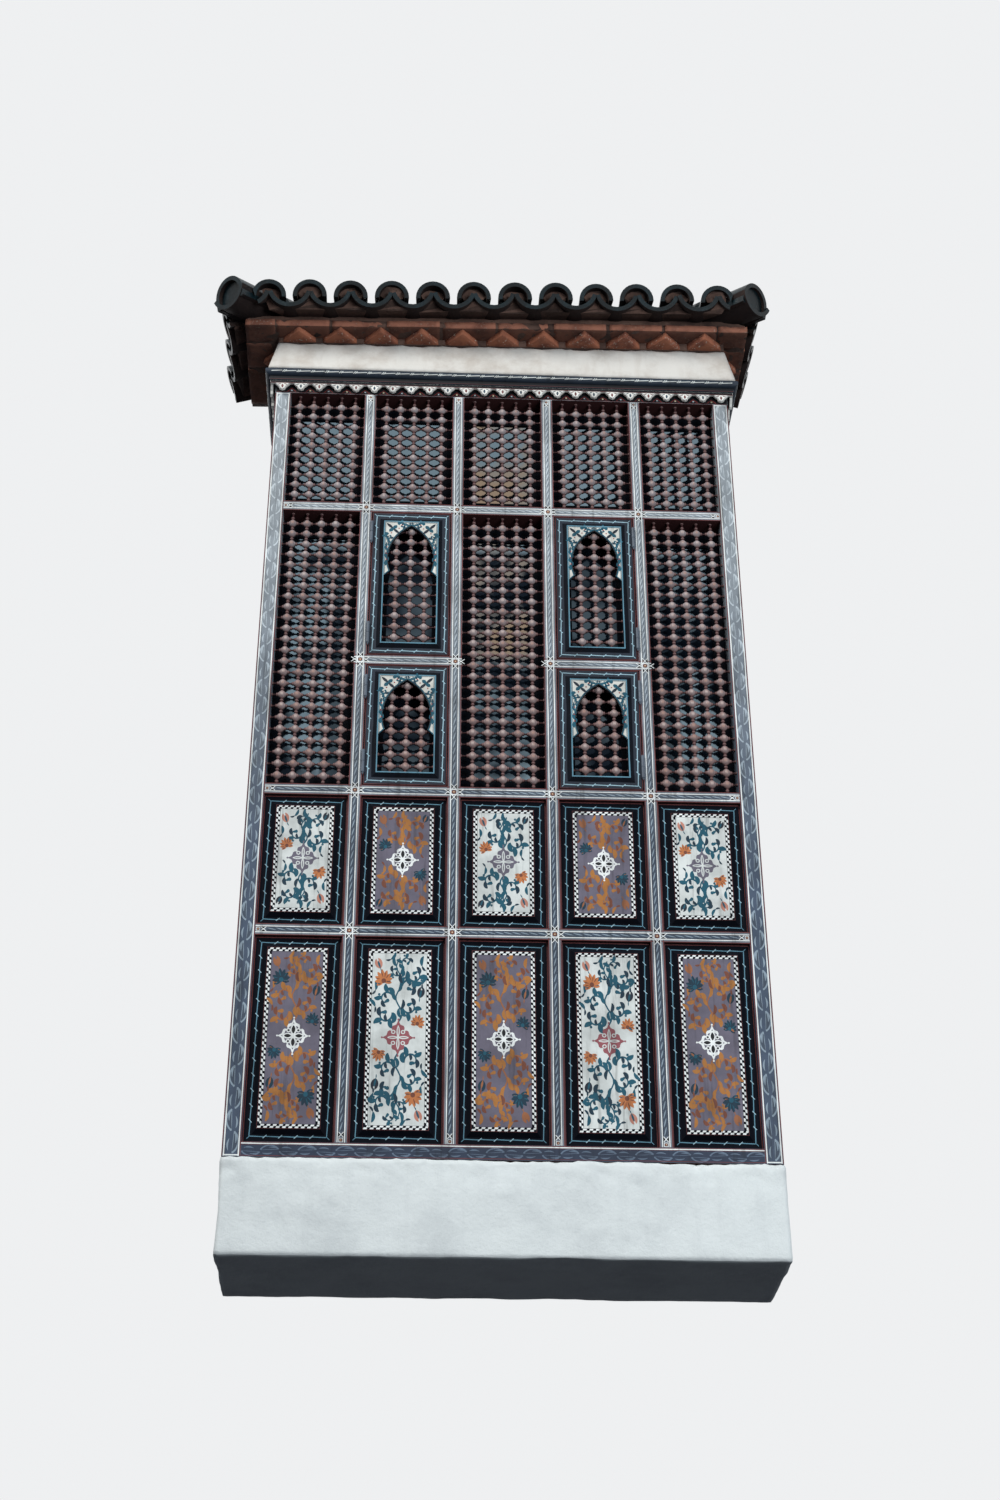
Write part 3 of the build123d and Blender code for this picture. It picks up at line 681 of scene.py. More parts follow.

# %% [markdown]
# The balls' fronts are paler, partly rubbed by hands and weather and partly a painted highlight, and their
# sides and backs are darker as painted shade, while beads and necks keep a dark red-brown.
# Each point stores how thick its profile is there and how far forward it lies, and the finish reads both.
# %% Turned wood finish
turned_wood, tree, wood_inputs = new_material("turned_wood", 0.58, 0.25)
where = object_spot(tree)
girth = new_node(tree, "Attribute", attribute_name="girth").outputs["Fac"]
forward = new_node(tree, "Attribute", attribute_name="forward").outputs["Fac"]
tone_noise = noise(tree, where, 16.0)
fibre = noise(tree, stretched(tree, where, 260, 260, 40), 1.0)
ball_tone = blend(tree, ramp(tree, tone_noise, 0.35, 0.68), colour(154, 146, 148), colour(130, 114, 114))
dusty = blend(tree, ramp(tree, fibre, 0.5, 0.7, 0.0, 0.5), ball_tone, colour(146, 141, 142))
low_down = ramp(tree, split(tree, where)["Z"], 1.6, 2.7, 0.42, 0.0)
browned = blend(tree, low_down, dusty, colour(136, 98, 88))
beaded = blend(tree, ramp(tree, girth, 0.0064, 0.0088), colour(112, 84, 82), browned)
turned = blend(tree, ramp(tree, girth, 0.0046, 0.0060), colour(70, 36, 38), beaded)
# Painted highlight and wear: the front cap of each ball is paler.
highlight_and_rub_tone = blend(tree, ramp(tree, tone_noise, 0.45, 0.55), colour(190, 174, 166), colour(166, 132, 118))
rubbed_highlight = times(tree, ramp(tree, forward, 0.0118, 0.0136), 0.75)
highlighted_front = blend(tree, rubbed_highlight, turned, highlight_and_rub_tone)
# Painted shade: the sides and back of each ball are darkened.
painted_light_side = ramp(tree, forward, -0.003, 0.007)
feed(tree, wood_inputs["Base Color"], blend(tree, painted_light_side, colour(30, 20, 19), highlighted_front))
give_relief(tree, fibre, 0.0004, wood_inputs)
print("turned wood has", len(tree.nodes), "nodes")

# %% [markdown]
# One function turns a whole opening: balls at every crossing, pegs between them, and end pieces to the
# rails and stiles. The balls' fronts stay as far behind the frame as the CAD bars that they replace.
# %% Turned lattices
def stacked(sets):
    """Several sets of points, faces and measures of each point as one set."""
    points, faces, *measures = zip(*sets)
    steps = np.cumsum([0] + [len(some) for some in points[:-1]])
    faces = np.concatenate([some + step for some, step in zip(faces, steps)])
    return np.concatenate(points), faces, *(np.concatenate(some) for some in measures)


def turned_lattice(width, height, place, setback, ball_sides):
    """Points, faces, girths and forward offsets of one opening's lattice, in the row frame."""
    xs = [x * mm for x in centred(width / mm, spindle_pitch, stile_margin)]
    zs = [height / 2 + z * mm for z in centred(height / mm, row_pitch, rail_margin)]
    margin_x = (width / mm - (len(xs) - 1) * spindle_pitch) / 2
    margin_z = (height / mm - (len(zs) - 1) * row_pitch) / 2
    flip_z = [(-a, r) for a, r in end_profile(margin_z)[::-1]]
    flip_x = [(-a, r) for a, r in end_peg(margin_x)[::-1]]
    points, faces, girths = stacked([
        many(ring_form(scaled(ball_profile), ball_sides, "Z"), [(x, 0, z) for x in xs for z in zs]),
        many(ring_form(scaled(end_profile(margin_z)), 8, "Z"), [(x, 0, zs[-1]) for x in xs]),
        many(ring_form(scaled(flip_z), 8, "Z"), [(x, 0, zs[0]) for x in xs]),
        many(ring_form(scaled(peg_profile), 6, "X"), [(x, 0, z) for x in xs[:-1] for z in zs]),
        many(ring_form(scaled(end_peg(margin_x)), 6, "X"), [(xs[-1], 0, z) for z in zs]),
        many(ring_form(scaled(flip_x), 6, "X"), [(xs[0], 0, z) for z in zs]),
    ])
    forward = -points[:, 1]
    points[:, 1] += setback + ball_radius
    turn, shift = np.array(place.to_3x3()), np.array(place.translation)
    return points @ turn.T + shift, faces, girths, forward


def lattice_piece(name, openings, *nodes, ball_sides=10):
    """One piece from several openings: a list of (width, height, place, setback)."""
    points, faces, girths, forward = stacked([turned_lattice(*some, ball_sides) for some in openings])
    piece = mesh_piece(name, points, faces, turned_wood)
    for label, values in (("girth", girths), ("forward", forward)):
        field = piece.data.attributes.new(label, "FLOAT", "POINT")
        field.data.foreach_set("value", values.astype(np.float32))
    settle(piece, "lattice_wood", *nodes)
    print(name, len(piece.data.polygons), "faces")


def front_opening(column, span):
    return (*span_of(column, span), front_place(column, span[0]), lattice_setback)


ball_radius = 0.014
lattice_setback = 0.013
leaf_clearance = 0.003
stile_width = 0.049
board_back = 0.001
top_openings = [front_opening(column, top_span) for column in range(5)]
lattice_piece("turned_top_lattices", top_openings, "top_lattices", ball_sides=8)
for column, side_name in zip(lattice_columns, ("left", "middle", "right")):
    openings = [front_opening(column, tall_lattice_span)]
    lattice_piece(f"turned_{side_name}_lattice", openings, f"{side_name}_tall_lattice")
leaf_openings = []
leaf_border = leaf_clearance + stile_width
for column, span in leaf_spots:
    inner = [size - 2 * leaf_clearance - 2 * stile_width for size in span_of(column, span)]
    leaf_openings.append((*inner, front_place(column, span[0] + leaf_border), -board_back))
lattice_piece("turned_leaf_lattices", leaf_openings, "leaf_lattices")
side_openings = []
for side in (-1, 1):
    for span in (tall_lattice_span, top_span):
        side_openings.append((side_width, opening_height(span), side_place(side, span[0]), lattice_setback))
lattice_piece("turned_side_lattices", side_openings, "side_lattices", ball_sides=8)

# %% [markdown]
# The daylight that the glass throws back shows only in the middle of each opening. Broad dark sash bars
# round every pane stand for the frame's shade on the glass, as painted shade. The bars lie flat on the
# glass, behind the lattice.
# %% Dark sashes as painted shade
sash_depth = 0.006
shade_sash_widths = (0.046, 0.074, 0.070)
leaf_shade_sash_widths = (0.066, 0.090, 0.084)
glass_inset, glass_thickness = 0.006, 0.004
glass_front = side_front_y - glass_inset - glass_thickness


def sash_bars(left, right, low, high, stile, top, bottom):
    """Four bars round a pane, as limits in x and z."""
    return [(left, left + stile, low, high), (right - stile, right, low, high),
            (left + stile, right - stile, high - top, high), (left + stile, right - stile, low, low + bottom)]


sash_limits = []
for column, (left, right) in enumerate(columns):
    sash_limits += sash_bars(left, right, *top_span, *shade_sash_widths)
    if column in lattice_columns:
        sash_limits += sash_bars(left, right, *tall_lattice_span, *shade_sash_widths)
    else:
        for span in (lower_leaf_span, upper_leaf_span):
            sash_limits += sash_bars(left, right, *span, *leaf_shade_sash_widths)
sash_points, sash_faces = [], []
for x0, x1, z0, z1 in sash_limits:
    base = len(sash_points)
    corners = [(x0, z0), (x1, z0), (x1, z1), (x0, z1)]
    sash_points += [(x, glass_front - depth, z) for depth in (sash_depth, 0.0002) for x, z in corners]
    sash_faces.append([base, base + 1, base + 2, base + 3])
    sash_faces += [[base + k, base + k + 4, base + (k + 1) % 4 + 4, base + (k + 1) % 4] for k in range(4)]
    sash_faces.append([base + 7, base + 6, base + 5, base + 4])
# Painted shade: the bars are dark so that the glass shows no light near the frame.
settled("sash_bars_as_shade", (sash_points, sash_faces), "leaf", "plain_wood", smooth=False)

# %% [markdown]
# Plaster is thrown on with a trowel, so no face is flat and no arris is sharp. A closed box with a fine
# grid on every face is pushed inwards by slow waves, most of all along its free edges, and stays inside
# the CAD box. Sums of sines with seeded directions serve as the waves.
# %% Rough solids
def waves(points, wavelength, seed, count=14):
    """Smooth random heights about 0 at many points, of about one wavelength."""
    dice = np.random.default_rng(seed)
    headings = dice.normal(size=(count, 3))
    headings /= np.linalg.norm(headings, axis=1)[:, None]
    pace = 2 * pi / wavelength * dice.uniform(0.6, 1.5, size=count)
    phase = dice.uniform(0, 2 * pi, size=count)
    return np.sin(points @ (headings * pace[:, None]).T + phase).sum(axis=1) / sqrt(count)


def grid_box(low, high, step):
    """A closed box whose faces carry a grid of about one step."""
    low, high = np.array(low, dtype=float), np.array(high, dtype=float)
    counts = np.maximum(1, np.round((high - low) / step).astype(int))
    seen, points, faces = {}, [], []

    def index(key):
        if key not in seen:
            seen[key] = len(points)
            points.append(low + (high - low) * np.array(key) / counts)
        return seen[key]

    for axis in range(3):
        u, v = (axis + 1) % 3, (axis + 2) % 3
        for side in (0, counts[axis]):
            for i in range(counts[u]):
                for j in range(counts[v]):
                    corners = []
                    for di, dj in ((0, 0), (1, 0), (1, 1), (0, 1)):
                        key = [0, 0, 0]
                        key[axis], key[u], key[v] = int(side), i + di, j + dj
                        corners.append(index(tuple(key)))
                    faces.append(corners if side else corners[::-1])
    return np.array(points), faces


def rough_box(low, high, step, round_off, lumps, seed, keep=()):
    """A grid box with worn edges and a lumpy skin. Lumps are (depth, length); sides in keep stay flat."""
    low, high = np.array(low, dtype=float), np.array(high, dtype=float)
    points, faces = grid_box(low, high, step)
    inner = np.clip(points, low + round_off, high - round_off)
    offset = points - inner
    length = np.linalg.norm(offset, axis=1)
    heading = offset / np.maximum(length, 1e-9)[:, None]
    worn = inner + heading * np.minimum(length, round_off)[:, None]
    depth, lump = lumps
    push = np.abs(waves(points, lump, seed)) * depth + np.abs(waves(points, lump / 4, seed + 1)) * depth / 3
    worn -= heading * push[:, None]
    for label in keep:
        axis = "xyz".index(label[1])
        level = high[axis] if label[0] == "+" else low[axis]
        flat = np.abs(points[:, axis] - level) < 1e-9
        worn[flat, axis] = level
    return worn, faces


print("rough solids ready")

# %% [markdown]
# The slab's front edge has been knocked and rained on for longest, so dents are pushed into it there. Its
# top stays flat under the timber, where the bottom rail sits.
# %% Base slab
base_low, base_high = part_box("base_slab")
slab_points, slab_faces = rough_box(base_low, base_high, 0.018, 0.010, (0.0036, 0.34), 5, ("+y",))
under_frame = (
    (slab_points[:, 2] > base_high.z - 0.03)
    & (np.abs(slab_points[:, 0]) < half_width - 0.004)
    & (slab_points[:, 1] > front_y + 0.004)
)
slab_points[under_frame, 2] = base_high.z
near_top = np.clip(1 - (base_high.z - slab_points[:, 2]) / 0.11, 0, 1)
on_front = slab_points[:, 1] < base_low.y + 0.02
slab_points[:, 1] += on_front * near_top * np.abs(waves(slab_points, 0.055, 23)) * 0.008
lip = (near_top > 0.8) & (slab_points[:, 1] < front_y - 0.002)
slab_points[lip, 2] -= np.abs(waves(slab_points[lip], 0.07, 31)) * 0.005
settled("plastered_slab", (slab_points, slab_faces), "slab", "slab_plaster", "base_slab")

# %% [markdown]
# The band under the bricks flares downwards to cover the cornice. It is a rough box whose sides lean,
# and its top edge follows the teeth. The whole head has settled to the left, by 0.65 degrees at the
# teeth, 1.05 degrees at the flat course and 1.3 degrees at the roof.
# %% Plaster band
teeth_z = 3.558
band_z = 3.394
right_end = 1.1
roof_tilt, roof_pivot_x = radians(1.3), 0.3
tooth_tilt, tooth_rise = radians(0.65), 0.019
tooth_pitch = 0.162
course_tilt, course_rise = radians(1.05), 0.0182


def leaning(tilt, rise, pivot_x=right_end):
    """A lean about a point at the teeth's foot, which also lifts by rise."""
    pivot = Vector((pivot_x, 0, teeth_z))
    lift = Matrix.Translation(pivot + Vector((0, 0, rise)))
    return lift @ Matrix.Rotation(-tilt, 4, "Y") @ Matrix.Translation(-pivot)


band_reach, band_top_reach = 0.036, 0.004
corner_low = (-half_width - band_reach, front_y - band_reach, band_z)
corner_high = (half_width + band_reach, 0, teeth_z)
band_points, band_faces = rough_box(corner_low, corner_high, 0.017, 0.006, (0.0018, 0.2), 11, ("+y", "-z"))
rise = (band_points[:, 2] - band_z) / (teeth_z - band_z)
draw_in = (band_reach - band_top_reach) * rise
band_points[:, 0] *= 1 - draw_in / (half_width + band_reach)
band_points[:, 1] *= 1 - draw_in / (-front_y + band_reach)
between_teeth = 0.5 + 0.5 * np.cos(2 * pi * band_points[:, 0] / tooth_pitch)
ragged = (np.abs(waves(band_points, 0.07, 3)) * 0.003 + between_teeth * 0.006) * (rise > 0.9)
sunk = tooth_rise + np.sin(tooth_tilt) * (band_points[:, 0] - right_end)
band_points[:, 2] += rise * (sunk - np.abs(ragged))
settled("plaster_band_skin", (band_points, band_faces), "band", "band_plaster", "plaster_band")

# %% [markdown]
# The thin bricks are hand-made, so each one is a small rough box of its own size and turn. Points of
# the dogtooth course are square bricks set at 45 degrees. Mortar fills behind them, set back in the joints.
# %% Brick courses
def join_forms(forms):
    """Points, faces and, where there are any, tags of several forms as one set."""
    points, faces, tags, base = [], [], [], 0
    for form in forms:
        points.append(np.asarray(form[0]))
        faces.extend([[i + base for i in face] for face in form[1]])
        tags.extend(form[2] if len(form) > 2 else [0] * len(form[1]))
        base += len(form[0])
    return np.concatenate(points), faces, tags


def moved(form, matrix):
    """A form after a turn and a shift; its faces and tags stay."""
    turn, shift = np.array(matrix.to_3x3()), np.array(matrix.translation)
    return (form[0] @ turn.T + shift, *form[1:])


def brick(size, seed):
    """One brick about its own centre."""
    half = np.array(size) / 2
    return rough_box(-half, half, 0.018, 0.004, (0.0016, 0.05), seed)


dice = random.Random(41)
brick_height = 0.037
tooth_half = 0.0745
tooth_side = tooth_half * sqrt(2)
tooth_inset = 0.003
core_half = half_width + band_top_reach
core_front = front_y - band_top_reach
teeth = []


def add_tooth(x, y, seed):
    turn = Matrix.Rotation(radians(45 + dice.uniform(-2.5, 2.5)), 4, "Z")
    tall = brick_height * dice.uniform(0.93, 1.0)
    lift = at(x, y, teeth_z + tall / 2)
    side = tooth_side * dice.uniform(0.93, 0.985)
    teeth.append(moved(brick((side, side, tall), seed), lift @ turn))


for i, x in enumerate(centred(2 * core_half, tooth_pitch, tooth_half)):
    add_tooth(x, core_front + tooth_inset, 100 + i)
for side in (-1, 1):
    for i, y in enumerate(centred(-core_front, tooth_pitch, tooth_half)):
        add_tooth(side * (core_half - tooth_inset), core_front / 2 + y, 140 + 10 * side + i)
teeth_form = join_forms(teeth)
teeth_form[0][:, 1] = np.minimum(teeth_form[0][:, 1], 0.0)
tooth_lean = leaning(tooth_tilt, tooth_rise)
settled("dogtooth_bricks", moved(teeth_form, tooth_lean), "tooth", "brick", "dogtooth_course")
core_high = (core_half, 0, teeth_z + brick_height)
tooth_core = rough_box((-core_half, core_front, teeth_z), core_high, 0.03, 0.004, (0.001, 0.1), 9,
                       ("+y", "+z", "-z"))
settled("dogtooth_mortar", moved(tooth_core, tooth_lean), "mortar", "mortar")

# %% [markdown]
# Over the teeth lies one flat course, of bricks about 0.22 m long. A mason starts each run with a cut
# brick, and no two bricks lie quite level or in line, so their lengths, heights and turns are drawn by
# chance. The mortar under the tiles shows only as a dark line.
# %% Flat course
course_z = teeth_z + brick_height
bed_z = course_z + brick_height
brick_length, brick_deep, brick_joint = 0.22, 0.105, 0.006
course_middle, course_reach = -0.020, 0.120
course_left = course_middle - half_width - course_reach
course_right = course_middle + half_width + course_reach
course_front = front_y - 0.080
bricks_back = 0.002
flat_bricks = []


def run_of_bricks(start, end, place_at, seed):
    """Bricks of one length along a run; place_at turns a place along it into a point and a turn."""
    along, count = start - dice.uniform(0.04, 0.12), 0
    while along < end - 0.01:
        low, high = max(along, start), min(along + brick_length, end)
        if high - low > 0.03:
            tall = brick_height * dice.uniform(0.93, 1.0)
            back = dice.uniform(0.0, 0.006)
            x, y, turn = place_at((low + high) / 2, brick_deep / 2 + back + bricks_back)
            form = brick((high - low - brick_joint, brick_deep, tall), seed + count)
            wobble = Matrix.Rotation(radians(dice.uniform(-0.9, 0.9)), 4, "Z")
            lift = at(x, y, course_z + brick_height / 2)
            flat_bricks.append(moved(form, lift @ turn @ wobble))
        along += brick_length * dice.uniform(0.97, 1.02)
        count += 1


def front_brick(along, back):
    return along, course_front + back, Matrix.Identity(4)


def left_brick(along, back):
    return course_left + back, along, quarter(1)


def right_brick(along, back):
    return course_right - back, along, quarter(1)


course_end = 0.004
run_of_bricks(course_left + course_end, course_right - course_end, front_brick, 300)
for side_brick, seed in ((left_brick, 340), (right_brick, 360)):
    run_of_bricks(course_front + brick_deep + brick_joint, -bricks_back, side_brick, seed)
course_lean = leaning(course_tilt, course_rise)
settled("flat_bricks", moved(join_forms(flat_bricks), course_lean), "brick", "brick", "flat_course")
bed_inset = 0.008
bed_low = (course_left + bed_inset, course_front + bed_inset, course_z + 0.002)
bed_high = (course_right - bed_inset, 0, bed_z - 0.001)
bed_core = rough_box(bed_low, bed_high, 0.035, 0.003, (0.001, 0.1), 15, ("+y",))
settled("flat_course_mortar", moved(bed_core, course_lean), "mortar", "mortar")
finish_node("mortar_bed", "mortar")
print("flat bricks", len(flat_bricks))

# %% [markdown]
# The roof is laid with two kinds of the same barrel tile: channels lie hollow side up on mortar, and
# covers lie over their rims. Each course overlaps the one below. A tile is built once from rings of
# points, and every copy of it sits a little askew.
# %% Barrel tiles
roof_slope = radians(20.0)
tile_pitch = 0.162
tile_thickness = 0.017
pan_half_width = tile_pitch / 2 - 0.0062
pan_depth = 0.056
pan_radius = (pan_half_width**2 + pan_depth**2) / (2 * pan_depth)
pan_outer = pan_radius + 0.010
pan_inner = pan_outer - tile_thickness
cover_radius = 0.0675
tile_stack = 0.113
cover_foot = 0.042
tile_offset = -0.036
bed_edge = 0.009
tile_overhang, side_overhang = 0.089, 0.046
eave_half = half_width + course_reach + side_overhang * cos(roof_slope)
eave_y = course_front - tile_overhang * cos(roof_slope)
eave_z = bed_z + bed_edge - side_overhang * sin(roof_slope)


def ring_tile(outer, inner, length, squeeze, steps):
    """A tile from two outlines of equal count, from its lower end up the slope, along -z.
    Its upper end is narrower by squeeze and lower by one tile. Faces are tagged 0 outside, 1 inside."""
    count = len(outer)
    ring = np.array(list(outer) + list(inner)[::-1])
    total = len(ring)
    points = []
    for step in range(steps + 1):
        share = step / steps
        wide = ring[:, 0] * (1 - (1 - squeeze) * share)
        up = np.full(total, -length * share)
        points.append(np.column_stack([wide, ring[:, 1] - tile_thickness * share, up]))
    faces = tube_faces(total, steps)
    tags = [1 if count <= k < total - 1 else 0 for k in range(total)] * steps
    for k in range(count - 1):
        quad = [k, total - 1 - k, total - 2 - k, k + 1]
        faces.append(quad)
        faces.append([i + steps * total for i in quad[::-1]])
        tags += [0, 0]
    return np.concatenate(points), faces, tags


def arc(radius, centre, start, end, steps):
    angles = [start + (end - start) * i / steps for i in range(steps + 1)]
    return [polar(radius, angle, 0.0, centre) for angle in angles]


def cover_tile(radius, stack, foot, length, squeeze=0.86):
    """Half a barrel on short legs. Its section is in x and y, and z runs down the slope."""
    spring = stack - radius
    outer, inner = (
        [(reach, foot)] + arc(reach, spring, 0, pi, 14) + [(-reach, foot)]
        for reach in (radius, radius - tile_thickness)
    )
    return ring_tile(outer, inner, length, squeeze, 4)


def channel_tile(length, squeeze=0.93):
    angle = acos((pan_radius - pan_depth) / pan_radius)
    down = -pi / 2
    outer = arc(pan_outer, pan_outer, down + angle, down - angle, 12)
    inner = arc(pan_inner, pan_outer, down + angle, down - angle, 12)
    return ring_tile(inner[::-1], outer[::-1], length, squeeze, 3)


def mouth_plug(radius, centre, front, depth, sides=20):
    """A disc of dark glaze a little inside a hip's mouth, as a closed shell."""
    rim = [polar(radius, 2 * pi * k / sides, 0.0, centre) for k in range(sides)]
    points = np.array([(x, y, z) for z in (-front, -front - depth) for x, y in rim])
    faces = tube_faces(sides, 1) + [list(range(sides))[::-1], [k + sides for k in range(sides)]]
    return points, faces, [0] * len(faces)


def askew(form, amount=1.0):
    """A tile as a mason leaves it: a little turned, tipped and out of line."""
    turn = Matrix.Rotation(radians(dice.uniform(-1.3, 1.3) * amount), 4, "Y")
    tip = Matrix.Rotation(radians(dice.uniform(-1.6, 1.6) * amount), 4, "Z")
    slide = at(dice.uniform(-0.0025, 0.0025) * amount, 0, -dice.uniform(0, 0.012) * amount)
    return moved(form, slide @ turn @ tip)


def slope_matrix(origin, along, out, slope=roof_slope):
    """Section axes at the eave: x along it, z out and down the slope, y square to both."""
    z_axis = (Vector(out) * cos(slope) - Vector((0, 0, sin(slope)))).normalized()
    x_axis = Vector(along).normalized()
    y_axis = z_axis.cross(x_axis)
    turn = Matrix((x_axis, y_axis, z_axis)).transposed().to_4x4()
    return Matrix.Translation(origin) @ turn


print("tile section", round(pan_radius, 4), "pan radius")

# %% [markdown]
# Each slope is a field of courses, trimmed along the hips and at the wall. The cut is made in the mesh
# itself with a plane, and the cut rims are filled, so every tile stays a closed shell of clay.
# %% Roof fields
course_length, course_step = 0.30, 0.235
slope_run = -eave_y / cos(roof_slope)


def ridge_of_mortar(length):
    """The mortar between two channels that also fills the cover over them, with a rough outer end."""
    half = [(0.072, 0.001), (0.052, 0.008), (0.032, 0.024), (0.018, 0.044), (0.040, 0.050), (0.048, 0.064),
            (0.040, 0.082), (0.022, 0.092)]
    section = [(-x, y) for x, y in half] + half[::-1]
    rings = []
    for step in range(4):
        share = step / 3
        jag = [dice.uniform(-0.012, 0.012) if step == 0 else 0.0 for _ in section]
        rings.append(np.array([(x, y, -length * share - j) for (x, y), j in zip(section, jag)]))
    count = len(section)
    faces = tube_faces(count, 3)
    faces.append(list(range(count))[::-1])
    faces.append([i + 3 * count for i in range(count)])
    return np.concatenate(rings), faces, [2] * len(faces)


def tile_courses(covers, run):
    """All tiles of one slope in section axes: x along the eave, z down the slope from the eave."""
    cover_places = [tile_pitch * (i - (covers - 1) / 2) for i in range(covers)]
    channel_places = [cover_places[0] - tile_pitch / 2] + [x + tile_pitch / 2 for x in cover_places]
    channel = channel_tile(course_length)
    cover = cover_tile(cover_radius, tile_stack, cover_foot, course_length)
    forms = []
    for number in range(int(run // course_step) + 1):
        up = at(0, 0, -number * course_step)
        rest = 1.0 if number else 0.7
        for tile, places in ((channel, channel_places), (cover, cover_places)):
            forms += [moved(askew(tile, rest), up @ at(x, 0, 0)) for x in places]
    for x in cover_places:
        start = at(x, 0, -0.034 + dice.uniform(-0.012, 0.008))
        forms.append(moved(ridge_of_mortar(run - 0.03), start))
    return join_forms(forms)


def trimmed(piece, point, normal):
    """Keeps the side of a plane that its normal points to, and closes the cut."""
    work = bmesh.new()
    work.from_mesh(piece.data)
    everything = work.verts[:] + work.edges[:] + work.faces[:]
    cut = bmesh.ops.bisect_plane(work, geom=everything, plane_co=point, plane_no=normal, clear_inner=True)
    rim = [part for part in cut["geom_cut"] if isinstance(part, bmesh.types.BMEdge)]
    bmesh.ops.holes_fill(work, edges=rim, sides=0)
    work.to_mesh(piece.data)
    work.free()


def roof_piece(name, form, cuts, node):
    """A leaning roof piece: glaze, bare clay inside and mortar, cut by upright planes."""
    piece = mesh_piece(name, form[0], form[1], finishes["glaze"])
    for key in ("clay", "mortar"):
        piece.data.materials.append(finishes[key])
    piece.data.polygons.foreach_set("material_index", form[2])
    for cut in cuts:
        trimmed(piece, *cut)
    piece.data.transform(leaning(roof_tilt, 0.0, roof_pivot_x))
    piece.data.polygons.foreach_set("use_smooth", [True] * len(piece.data.polygons))
    piece.data.set_sharp_from_angle(angle=radians(40))
    settle(piece, "green_glaze", node)
    print(name, "has", len(piece.data.polygons), "faces")


front_covers, side_covers = 12, 3
hip_step = 0.086 * sqrt(2)
wall_cut = ((0, 0, 0), (0, -1, 0))
front_origin = (tile_offset, eave_y, eave_z)
front_field = moved(tile_courses(front_covers, slope_run), slope_matrix(front_origin, (1, 0, 0), (0, -1, 0)))
front_cuts = [wall_cut]
for side in (-1, 1):
    corner = (tile_offset + side * eave_half - side * hip_step, eave_y, 0)
    front_cuts.append((corner, (-side, -1, 0)))
roof_piece("front_barrel_tiles", front_field, front_cuts, "front_roof_tiles")
for side, side_name in ((-1, "left"), (1, "right")):
    origin = (tile_offset + side * eave_half, -side_covers * tile_pitch / 2, eave_z)
    field = moved(tile_courses(side_covers, slope_run), slope_matrix(origin, (0, side, 0), (side, 0, 0)))
    hip_point = (tile_offset + side * eave_half, eave_y + hip_step, 0)
    side_cuts = [wall_cut, (hip_point, (side, 1, 0))]
    roof_piece(f"{side_name}_barrel_tiles", field, side_cuts, f"{side_name}_roof_tiles")

# %% [markdown]
# A bigger cover runs up each hip, and a short channel lies under its mouth at the corner, which gives
# the round openings that show at both ends of the eave.
# %% Hip covers
hip_radius = 0.075
hip_stack = 0.133
hip_lead = -0.020
hip_tile_length, hip_tile_step, hip_squeeze = 0.32, 0.26, 0.9
corner_channel_length = 0.21
plug_radius, plug_level, plug_inset, plug_depth = 0.0615, 0.062, 0.020, 0.012
hip_slope = atan(tan(roof_slope) / sqrt(2))
hip_length = -eave_y * sqrt(2) / cos(hip_slope) + 2 * hip_radius
for side, side_name in ((-1, "left"), (1, "right")):
    out = Vector((side, -1, 0)).normalized()
    start = Vector((tile_offset + side * eave_half, eave_y, eave_z)) + out * hip_lead
    start.z -= hip_lead * tan(hip_slope)
    forms = [channel_tile(corner_channel_length), mouth_plug(plug_radius, plug_level, plug_inset, plug_depth)]
    for number in range(int(hip_length // hip_tile_step) + 1):
        tile = cover_tile(hip_radius, hip_stack, tile_thickness, hip_tile_length, hip_squeeze)
        forms.append(moved(askew(tile, 0.6), at(0, 0, -number * hip_tile_step)))
    hip_form = moved(join_forms(forms), slope_matrix(start, (1, side, 0), out, hip_slope))
    roof_piece(f"{side_name}_hip_tiles", hip_form, [wall_cut], f"{side_name}_hip_cover")

# %% [markdown]
# Twenty-four paints are enough for all the ornament, from chalk white to soot black. Each is a finish of
# its own with a little wear. Two of them, the grey-blues of the bands, turn paler towards the top as painted
# light.
# %% The painter's paints
ink_colours = {
    "white": (228, 232, 230), "cream": (222, 204, 172), "bone": (206, 211, 208), "pale_blue": (134, 150, 162),
    "tick": (150, 182, 194), "grey": (120, 127, 134), "slate": (92, 108, 126), "dark_slate": (44, 54, 72),
    "channel": (62, 73, 87), "strand": (58, 72, 88), "cord": (90, 134, 152), "teal": (22, 80, 98),
    "deep_teal": (14, 46, 62), "night": (25, 35, 48), "black": (12, 14, 20), "mauve": (100, 96, 110),
    "rose": (142, 82, 88), "pink": (186, 128, 110), "red": (150, 52, 48), "oxblood": (98, 50, 50),
    "orange": (184, 114, 68), "amber": (162, 108, 54), "ochre": (146, 94, 62), "brown": (112, 66, 50),
}
top_lit_inks = {"channel": (158, 167, 172), "pale_blue": (200, 208, 212)}
inks = {}
for key, tint in ink_colours.items():
    given = {"Paint": colour(*tint), "Bare": bare_wood, "Wear": 0.08}
    # Painted light: these two paints turn paler towards the top.
    if key in top_lit_inks:
        given |= {"Fade": 0.8, "Sky": colour(*top_lit_inks[key])}
    inks[key] = new_finish(f"ink_{key}", worn_paint, 0.6, 0.0003, **given)
print("paints", len(inks))

# %% [markdown]
# All the painted ornament is laid on as thin strokes of thick distemper, about a third of a millimetre
# high. A sketch gathers such strokes on any flat face: it keeps a list of points and faces, and one
# finish for each paint. Local x runs across the face, z runs up it, and the strokes rise towards -y.
# %% The painter's strokes
hand = random.Random(73)
shake = 0.0003


